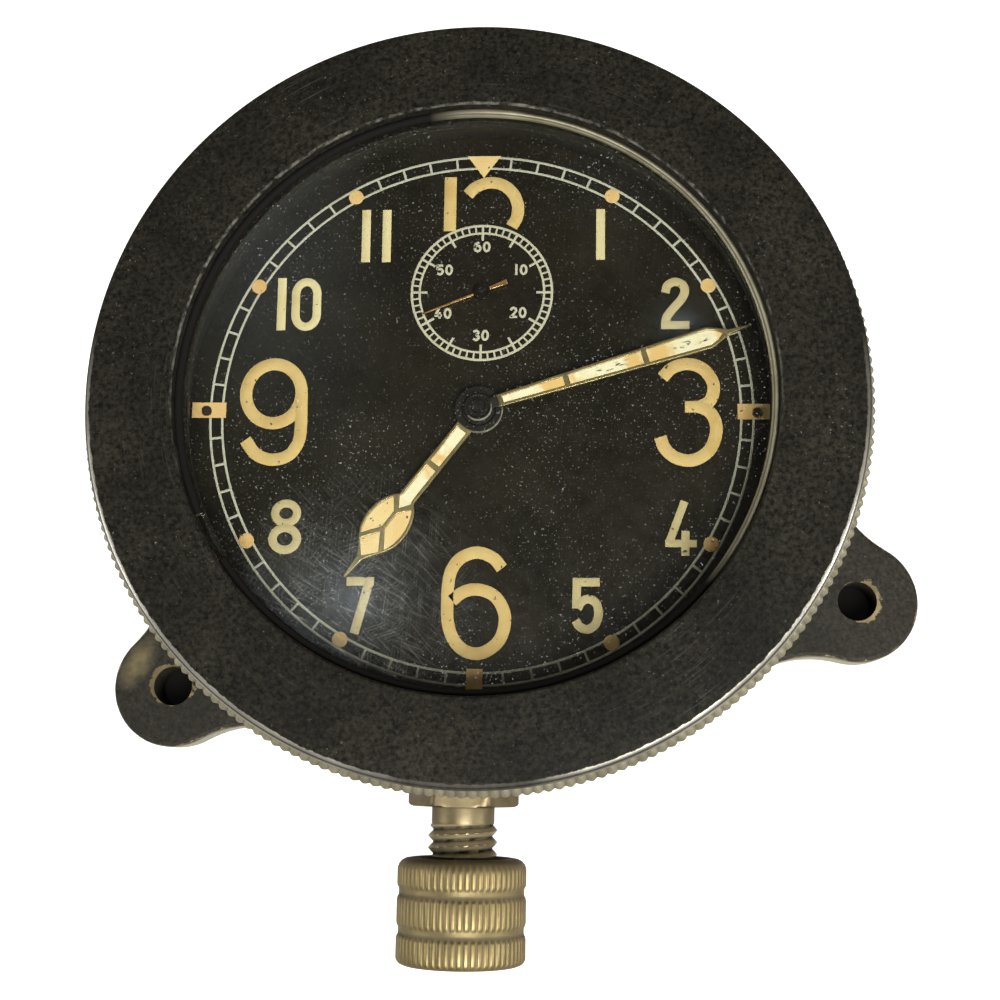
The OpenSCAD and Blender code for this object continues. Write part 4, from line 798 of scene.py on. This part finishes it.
def make_minute_hand():
    place = turned(MINUTE_AT)
    root, shoulder = (0.7, 2.3), (1.22, 25.6)

    def inside_half(y):
        slope = (shoulder[0] - root[0]) / (shoulder[1] - root[1])
        return root[0] + slope * (y - root[1]) - BRASS_W
    outline = both([(0.55, 1.2), root, shoulder, (1.0, 26.2), (0.28, 27.8), (0.1, 30.3)])
    point = [(0.55, 26.4), (0.0, 27.1), (-0.55, 26.4)]
    windows = []
    for low, high, tip in ((2.75, 9.5, []), (10.1, 18.2, []), (18.8, 25.6, point)):
        a, b = inside_half(low), inside_half(high)
        windows.append([(-a, low), (a, low), (b, high), *tip, (-b, high)])
    plate("minute_frame", [outline] + windows, MINUTE_Z, MINUTE_Z + HAND_T, BRASS_EDGE, place, m_hand,
          "minute", ("minute_hand",))
    fill("minute_filling", windows, MINUTE_Z, place, m_minute, "minute", ("minute_lume",))
    hub_r = 1.5
    plate("minute_hub", [circle(hub_r), circle(1.17, 24)], MINUTE_Z - 0.03, MINUTE_Z + HAND_T + 0.05, 0.1,
          place, hub_look("minute_hub_black", hub_r), "minute")


def bow(p, q, r, s, steps):
    """Cubic curve from p to s, drawn towards q and r."""
    out = []
    for i in range(steps + 1):
        t = i / steps
        parts = zip(((1 - t) ** 3, 3 * (1 - t) ** 2 * t, 3 * (1 - t) * t * t, t ** 3), (p, q, r, s))
        out.append(tuple(sum((Vector(point) * part for part, point in parts), Vector((0.0, 0.0)))))
    return out


def pear_half(gap):
    """Right side of the hour hand's pear, drawn in by a gap."""
    foot, wide = 12.3, 2.42 - gap
    return (bow((0.95 - gap, foot), (1.45 - gap, foot + 0.3), (wide, 13.9), (wide, 15.8), 10)
            + bow((wide, 15.8), (wide, 18.0), (1.1, 18.7), (max(0.35 - gap, 0.02), 20.3 - gap), 12)[1:])


def side_at(points, y):
    """Half-width of an outline at a height."""
    for (x0, y0), (x1, y1) in zip(points, points[1:]):
        if y0 <= y <= y1:
            return x0 + (x1 - x0) * (y - y0) / max(1e-6, y1 - y0)
    return points[-1][0]


def make_hour_hand():
    place = turned(HOUR_AT)
    inner = pear_half(BRASS_W)
    bar, shaft = 0.22, 0.59
    outline = both([(0.95, 2.2)] + pear_half(0.0) + [(0.12, 22.8)])
    first = [(-shaft, 2.9), (shaft, 2.9), (shaft, 7.5), (-shaft, 7.5)]
    second = [(-shaft, 8.1), (shaft, 8.1), (shaft, 12.0), (0.75, 12.5), (0.0, 13.6), (-0.75, 12.5),
              (-shaft, 12.0)]
    lobe = ([(bar, 14.15), (side_at(inner, 12.95), 12.95)] + [p for p in inner if 12.95 < p[1] < 18.0]
            + [(side_at(inner, 18.05), 18.05), (bar, 16.2)])
    tip = [(side_at(inner, 18.55), 18.55)] + [p for p in inner if p[1] > 18.6]
    lobes = [lobe, [(-x, y) for x, y in lobe], [(0.0, 16.75)] + both(tip)]
    plate("hour_frame", [outline, first, second] + lobes, HOUR_Z, HOUR_Z + HAND_T, BRASS_EDGE, place, m_hand,
          "hour", ("hour_hand",))
    fill("hour_shaft_filling", [first, second], HOUR_Z, place, m_hour, "hour", ("hour_lume",))
    fill("hour_pear_filling", lobes, HOUR_Z, place, m_pear, "hour")
    hub_r = 2.6
    plate("hour_hub", [circle(hub_r, 60), circle(1.77, 32)], HOUR_Z - 0.03, HOUR_Z + HAND_T + 0.04, 0.13,
          place, hub_look("hour_hub_black", hub_r), "hour")


def make_seconds_hand():
    place = turned(SECONDS_AT, SUB)
    needle = both([(0.3, -3.0), (0.2, -1.6), (0.13, 0.5), (0.08, 6.9)])
    plate("seconds_needle", [needle], SECONDS_Z, SECONDS_Z + 0.2, 0.03, place, m_seconds, "fourth",
          ("seconds_hand",))
    plate("seconds_hub", [circle(0.95), circle(0.32, 20)], SECONDS_Z - 0.02, SECONDS_Z + 0.36, 0.05, place,
          m_hub, "fourth")


make_minute_hand()
make_hour_hand()
make_seconds_hand()

# Case: pot, base with three lugs, all edges softened
LUGS = [polar(LUG_REACH, at) for at in LUGS_AT]
PATCH = (-41.3, -25.8)


def base_outline():
    """The base's circle, with each lug's round end led in and out by a hollow."""
    far, near = BASE_R + HOLLOW_R, LUG_R + HOLLOW_R
    opening = math.degrees(math.acos((far ** 2 + LUG_REACH ** 2 - near ** 2) / (2 * far * LUG_REACH)))
    points = []
    for at, (lug_x, lug_y) in zip(LUGS_AT, LUGS):
        hollows, ends = [], []
        for side in (-1, 1):
            x, y = polar(far, at + side * opening)
            to_axis = at + side * opening + 180
            to_lug = math.degrees(math.atan2(lug_y - y, lug_x - x))
            turn = (to_lug - to_axis + 180) % 360 - 180
            hollows.append(arc(x, y, HOLLOW_R, HOLLOW_R, to_axis, to_axis + turn, 14))
            ends.append(to_lug + 180)
        sweep = (ends[1] - ends[0]) % 360
        points += hollows[0] + arc(lug_x, lug_y, LUG_R, LUG_R, ends[0], ends[0] + sweep, 30)[1:-1]
        points += hollows[1][::-1] + arc(0, 0, BASE_R, BASE_R, at + opening, at + 120 - opening, 40)[1:-1]
    return [Vector(p) for p in points]


def case_look():
    """Black paint, worn to bare metal on the sides, round the holes and on part of one lug."""
    s = Shader("case_worn_paint")
    color = paint_color(s, (0.01, 0.0092, 0.0072), (0.042, 0.038, 0.0295), (0.15, 0.145, 0.125))
    x, y, _ = s.xyz()
    from_x, from_y = (s.math("SUBTRACT", value, place * MM) for value, place in zip((x, y), PATCH))
    across = s.math("ADD", s.product(from_x, 0.68), s.product(from_y, -0.25))
    away = s.radius(across, s.product(from_y, 0.42))
    rubbed = s.product(s.span(away, 1.5, 0.3), s.ramp(s.noise(700, 4), 0.3, 0.65, 0.35, 0.95))
    color = s.mix(rubbed, color, (0.155, 0.128, 0.068))
    wear = s.groove()
    bare = s.ramp(s.math("ADD", wear, s.ramp(s.noise(520, 5, 0.7), 0.25, 0.75, -0.42, 0.42)), 0.46, 0.6)
    tone = s.mix(s.ramp(s.noise(300, 4), 0.35, 0.65), (0.3, 0.245, 0.13), (0.15, 0.12, 0.065))
    tone = s.mix(s.ramp(wear, 0.93, 0.97), tone, (0.5, 0.48, 0.38))
    roughness = s.between(bare, 0.55, 0.42)
    metallic = s.between(bare, 0.0, 0.85)
    return s.surface(s.mix(bare, color, tone), roughness, metallic, (1800, 0.25, 0.00006), 0.13)


def worn_lug(x, y):
    """Thin worn line round part of every hole."""
    wear = 0.0
    for (lug_x, lug_y), side in zip(LUGS, (1.5, 2.7, 0.1)):
        dx, dy = x - lug_x, y - lug_y
        facing = 0.5 + 0.5 * math.cos(math.atan2(dy, dx) - side)
        wear = max(wear, (0.4 + 0.5 * facing) - (math.hypot(dx, dy) - HOLE_EDGE_R) * (1.6 - 1.0 * facing))
    return wear


def sheet(name, outlines, z, material, wear=None):
    """Flat face with holes, fine enough to carry wear."""
    longest = 1.2 * MM
    mesh = flat_mesh(name, outlines)
    bm = bmesh.new()
    bm.from_mesh(mesh)
    bpy.data.meshes.remove(mesh)
    bmesh.ops.remove_doubles(bm, verts=bm.verts, dist=1e-7)
    for _ in range(3 if wear else 0):
        long_edges = [e for e in bm.edges if e.calc_length() > longest]
        bmesh.ops.subdivide_edges(bm, edges=long_edges, cuts=1)
        bmesh.ops.triangulate(bm, faces=bm.faces)
    bm.normal_update()
    if (sum(f.normal.z for f in bm.faces) < 0) == (z > 0):
        bmesh.ops.reverse_faces(bm, faces=bm.faces)
    b = Build()
    b.verts = [(v.co.x / MM, v.co.y / MM, z) for v in bm.verts]
    b.faces = [tuple(v.index for v in f.verts) for f in bm.faces]
    b.groove = [wear(x, y) for x, y, _ in b.verts] if wear else []
    bm.free()
    b.make(name, material, (), 30)


def make_base():
    look = case_look()
    outline = base_outline()
    after = outline[1:] + outline[:1]
    before = outline[-1:] + outline[:-1]
    ways = [(b - a).normalized() for a, b in zip(before, after)]

    def drawn_in(draw):
        return [(p.x - way.y * draw, p.y + way.x * draw) for p, way in zip(outline, ways)]
    # How far each row is drawn in, its height and its wear
    edge = [(0.4, 0.0, 0.7), (0.1, 0.1, 0.9), (0.0, 0.35, 1.0), (0.0, 3.9, 1.0), (0.05, 4.2, 0.75),
            (0.2, 4.42, 0.4), (0.5, BASE_T, 0.05)]
    b = Build()
    b.grid([at_height(drawn_in(draw), z) for draw, z, _ in edge], groove=[wear for *_, wear in edge])
    b.make("base_edge", look, ("case",))
    holes = [circle(HOLE_EDGE_R, 40, *lug, -360) for lug in LUGS]
    sheet("base_top", [drawn_in(edge[-1][0])] + holes + [circle(POT_R - 0.5, 120)], BASE_T, look, worn_lug)
    sheet("base_back", [drawn_in(edge[0][0])] + holes, 0.0, look)
    bore = [(HOLE_EDGE_R, 0.0), (HOLE_R, 0.15), (HOLE_R, BASE_T - 0.2), (HOLE_EDGE_R, BASE_T)]
    b = Build()
    for lug in LUGS:
        b.grid([at_height(circle(r, 40, *lug, -360), z) for r, z in bore], groove=[0.3, 0.05, 0.05, 0.7])
    b.make("lug_holes", look)


def stem_row(radii, d):
    """Ring round the stem, at a distance from the dial's axis, with a radius for each point."""
    points = (polar(r, 360 * j / len(radii), *STEM) for j, r in enumerate(radii))
    return [(x, -d, z) for x, z in points]


def make_pot():
    b = Build()
    lathe(b, fillet([
        (POT_R - 0.5, BASE_T), (POT_R, BASE_T), (POT_R, SEAT_Z, 0.1), (NECK_R, SEAT_Z), (NECK_R, 30.8),
        (36.25, 30.8), (36.25, 17.5), (33.8, 17.5), (33.8, 2.5), (0.01, 2.5)]), 240)
    b.make("case_pot", m_case, (), 30)
    boss = ((6.4, 36.8), (6.4, 39.2), (6.25, 39.35), (6.0, 39.4), (2.83, 39.4), (2.83, 36.0))
    b = Build()
    b.grid([stem_row([r] * 64, d) for r, d in boss])
    b.make("stem_boss", m_case)


make_base()
make_pot()

# Stem tube with its hexagon collar and thread, and the knob
TUBE_N = 96
NECK_END, TUBE_END = 43.5, 47.0


def make_collar():
    """Hexagon, cut round to each row's limit."""
    flat_r = 10.5 / 2
    offs = [math.radians(360 * j / TUBE_N % 60 - 30) for j in range(TUBE_N)]
    hexagon = [flat_r / math.cos(off) for off in offs]
    profile = ((2.8, 38.0), (2.8, 39.42), (5.8, 39.42), (6.02, 39.55), (6.02, 41.35), (5.85, 41.55),
               (5.5, 41.68), (3.42, 41.7))
    b = Build()
    b.grid([stem_row([min(limit, r) for r in hexagon], d) for limit, d in profile])
    b.make("tube_collar", m_tube, ("stem_tube",))


def make_neck():
    profile = ((3.42, 41.7), (3.4, 41.9), (3.4, 43.3), (3.36, NECK_END))
    b = Build()
    b.grid([stem_row([r] * TUBE_N, d) for r, d in profile], groove=[0.9, 0.3, 0.0, 0.1])
    b.make("tube_neck", m_tube)


def make_thread():
    pitch, crest, root, neck_r, step = 1.28, 3.75, 3.22, 3.36, 0.061
    rows, dirt = [], []
    d = NECK_END
    while d < TUBE_END - 0.08:
        fade = min(1.0, (d - NECK_END) / 0.4 + 0.3)
        phases = [(d / pitch - j / TUBE_N) % 1.0 for j in range(TUBE_N)]
        rises = [max(0.0, 1 - abs(phase - 0.5) * 2.4) ** 0.8 for phase in phases]
        radii = [root + (crest - root) * rise * fade + (neck_r - root) * (1 - fade) * (1 - rise)
                 for rise in rises]
        rows.append(stem_row(radii, d))
        # Painted shade: the roots between the crests are drawn dark; dirt here holds that shade.
        dirt.append([(1 - rise) ** 0.9 for rise in rises])
        d += step
    # The tube's end and bore are drawn darker too.
    for r, d, darkness in ((3.1, TUBE_END, 0.4), (1.45, TUBE_END, 0.4), (1.45, 34.5, 0.6)):
        rows.append(stem_row([r] * TUBE_N, d))
        dirt.append(darkness)
    b = Build()
    b.grid(rows, groove=dirt)
    b.make("tube_thread", m_thread)


def knob_profile():
    """Radius, distance, depth of the flutes and darkness, from the bore over three bands to the end."""
    start, band, gap = 47.1, 3.0, 1.0
    bore, deep = 4.35, 51.2
    profile = [(1.0, deep, 0, 0.9), (bore, deep, 0, 0.9), (bore, start + 0.3, 0, 0.9),
               (bore + 0.3, start + 0.02, 0, 0.7), (5.6, start, 0, 0.55)]
    for k in range(3):
        low = start + k * (band + gap)
        high = low + band
        first, last = k == 0, k == 2
        if first:
            profile += [(6.1, low + 0.08, 0, 0.6), (6.5, low + 0.28, 0, 0.5), (6.78, low + 0.6, 0.1, 0.3)]
        else:
            profile += [(6.74, low - 0.28, 0, 0.9), (6.78, low - 0.06, 0.1, 0.9),
                        (6.88, low + 0.05, 0.8, 0.1)]
        profile += [(6.95, low + 0.35 + 0.7 * first, 1, 0), (6.95, low + band / 2, 1, 0),
                    (6.95, high - 0.35 - 0.3 * last, 1, 0)]
        if last:
            profile += [(6.86, high - 0.4, 0.8, 0), (6.65, high - 0.15, 0.4, 0), (6.3, high, 0, 0.05),
                        (0.01, high, 0, 0.1)]
        else:
            profile += [(6.88, high - 0.05, 0.8, 0.1), (6.78, high + 0.06, 0.1, 0.3),
                        (6.75, high + 0.25, 0, 0.3), (6.74, high + gap / 2, 0, 0.3)]
    return profile


def make_knob():
    flutes, steps, depth = 60, 10, 0.12
    valleys = [max(0.0, math.cos(2 * math.pi * j / steps)) ** 0.8 for j in range(steps)] * flutes
    rows, dirt = [], []
    for r, d, amount, darkness in knob_profile():
        rows.append(stem_row([r - amount * depth * valley for valley in valleys], d))
        # dirt here is grime in the flute valleys, and a darker tone at the band edges and in the bore.
        dirt.append([min(1.0, darkness + amount * valley * 0.6) for valley in valleys])
    b = Build()
    b.grid(rows, groove=dirt)
    b.make("knob_body", m_knob, ("knob",), 50, "knob")


make_collar()
make_neck()
make_thread()
make_knob()

# Inside pieces keep their CAD shapes, apart from the detent spring
inside = {
    "plate_brass": metal("plate_brass", (0.66, 0.5, 0.24), (0.55, 0.41, 0.19), 0.34),
    "wheel_brass": metal("wheel_brass", (0.74, 0.56, 0.27), (0.62, 0.46, 0.22), 0.28, black=above_dial),
    "gilt": metal("gilt_brass", (0.8, 0.62, 0.3), (0.7, 0.52, 0.24), 0.24),
    "steel": metal("grey_steel", (0.52, 0.53, 0.55), (0.4, 0.41, 0.43), 0.3, black=above_dial),
    "screw_steel": metal("screw_steel", (0.3, 0.32, 0.36), (0.2, 0.22, 0.26), 0.26),
    "spring_steel": metal("spring_steel", (0.16, 0.22, 0.36), (0.1, 0.15, 0.26), 0.25),
    "jewel": Shader("ruby").surface((0.45, 0.02, 0.06), 0.1),
}
special = {"dial": dial_paint(), "glass": glass_look()}
slot_of = {p["node"]: p["material_slot"] for p in frame["record"]["subparts"]}


def make_detent():
    """Detent spring drawn opened, so that the stem can slide through it."""
    low, deep, width = 8.8, 24.5, 0.8
    outside = [(1.46, 5.6), (1.76, 5.6), (1.76, 0.4), (1.4, 0.0)]
    inner = [(1.46, 0.65), (1.25, 0.5)]
    outline = both(outside) + both(inner)[::-1]
    rows = [[(STEM[0] + x, side * width / 2 - deep, low + z) for x, z in outline] for side in (-1, 1)]
    b = Build()
    b.grid(rows)
    b.cap(rows[0][::-1])
    b.cap(rows[1])
    b.make("detent_leaves", inside["spring_steel"], ("detent_spring",), 35)


make_detent()
for name, obj in nodes.items():
    obj.data.materials.clear()
    obj.data.materials.append(special.get(name) or inside.get(slot_of[name], m_case))
    smooth(obj.data, 30)


# Floor, world and lights
def make_floor():
    """White floor, its glow dimmed by occlusion close to the case, and drawn near black as painted shadow
    where it shows through the lug holes.
    """
    s = Shader("floor_white")
    open_sky = s.add("AmbientOcclusion", "AO", {"samples": 8}, Distance=0.008)
    clear = s.ramp(open_sky, 0.3, 0.7, 0.5, 1.0)
    shade = 1.0
    # Painted shadow: shade falls to near black round each lug hole's place on the floor.
    for x, y in LUGS:
        shade = s.product(s.span(s.away((x * MM, y * MM, 0.0)), 3.4, 4.4, 0.004, 1.0), shade)
    glow = s.add("Emission", Color=(1.0, 1.0, 1.0), Strength=s.product(clear, shade))
    lit = s.add("BsdfDiffuse", Color=s.mix(shade, (0.004, 0.0035, 0.003), (0.4, 0.4, 0.4)))
    seen = s.add("AddShader", i0=lit, i1=glow)
    s.finish(s.add("MixShader", i0=s.add("LightPath", "Is Camera Ray"), i1=lit, i2=seen))
    mesh = bpy.data.meshes.new("floor")
    r, z = 1.6, -0.0003
    mesh.from_pydata([(-r, -r, z), (r, -r, z), (r, r, z), (-r, r, z)], [], [(0, 1, 2, 3)])
    floor = bpy.data.objects.new("floor", mesh)
    floor.data.materials.append(s.mat)
    bpy.context.scene.collection.objects.link(floor)


# Soft glows that the glass mirrors: direction x and y, half widths, strength
GLOWS = ((-0.165, 0.124, 0.08, 0.06, 0.95), (-0.157, 0.119, 0.026, 0.024, 2.2),
         (-0.215, 0.35, 0.1, 0.16, 0.5), (0.071, 0.3125, 0.02, 0.006, 5.0))


def make_world():
    """White to the camera, and to the clock a dim sky, dimmest overhead, with the glows in it."""
    world = bpy.data.worlds.new("studio")
    bpy.context.scene.world = world
    world.use_nodes = True
    s = Nodes(world.node_tree)
    toward = s.add("TexCoord", "Generated")
    overhead = s.vector("DOT_PRODUCT", toward, Vector((-0.1, 0.3, 0.95)).normalized(), "Value")
    glow = 0.0
    for x, y, half_x, half_y, strength in GLOWS:
        offset = s.vector("SUBTRACT", toward, (x, y, 0.0))
        away = s.vector("LENGTH", s.vector("MULTIPLY", offset, (1 / half_x, 1 / half_y, 0.0)), out="Value")
        glow = s.math("ADD", glow, s.ramp(away, 1.0, 0.0, 0.0, strength, "SMOOTHSTEP"))
    dim = s.add("Background", Color=(1.0, 0.95, 0.8),
                Strength=s.ramp(overhead, 0.6, 0.88, 0.4, 0.06, "SMOOTHSTEP"))
    cool = s.add("Background", Color=(0.76, 0.9, 1.0), Strength=glow)
    sky = s.add("AddShader", i0=dim, i1=cool)
    white = s.add("Background", Color=(1.0, 1.0, 1.0), Strength=1.0)
    seen = s.add("LightPath", "Is Camera Ray")
    s.finish(s.add("MixShader", i0=seen, i1=sky, i2=white), "OutputWorld")


AIM = Vector((0.0, 0.0, 0.025))


def area(name, place, size, watts, color=(1, 1, 1)):
    """Round lamp that points at the clock."""
    data = bpy.data.lights.new(name, "AREA")
    data.shape = "DISK"
    data.size = size
    data.energy = watts
    data.color = color
    obj = bpy.data.objects.new(name, data)
    obj.location = place
    obj.rotation_euler = (AIM - Vector(place)).to_track_quat("-Z", "Y").to_euler()
    bpy.context.scene.collection.objects.link(obj)


make_floor()
make_world()
area("key", (0.2, -0.45, 1.0), 0.55, 18.0, (1.0, 0.98, 0.94))
area("right", (0.5, -0.1, 0.22), 0.15, 1.0, (1.0, 0.97, 0.92))
area("left", (-0.5, -0.05, 0.2), 0.2, 0.8)

# Camera, set where the photograph was taken from
EYE = (0.0104, -0.03832, 0.17033)
VIEW_AXIS = Vector((-0.0535, 0.1913, -0.9801)).normalized()
camera = bpy.data.cameras.new("camera")
camera.sensor_width = 36.0
camera.lens = 50.885
camera.clip_start = 0.005
camera.clip_end = 10.0
eye = bpy.data.objects.new("camera", camera)
right = VIEW_AXIS.cross(Vector((-0.006, 0.9814, 0.1918))).normalized()
up = right.cross(VIEW_AXIS)
turn = Matrix((right, up, -VIEW_AXIS)).transposed()
eye.matrix_world = Matrix.Translation(EYE) @ turn.to_4x4()
scene = bpy.context.scene
scene.collection.objects.link(eye)
scene.camera = eye
scene.view_settings.view_transform = "Standard"
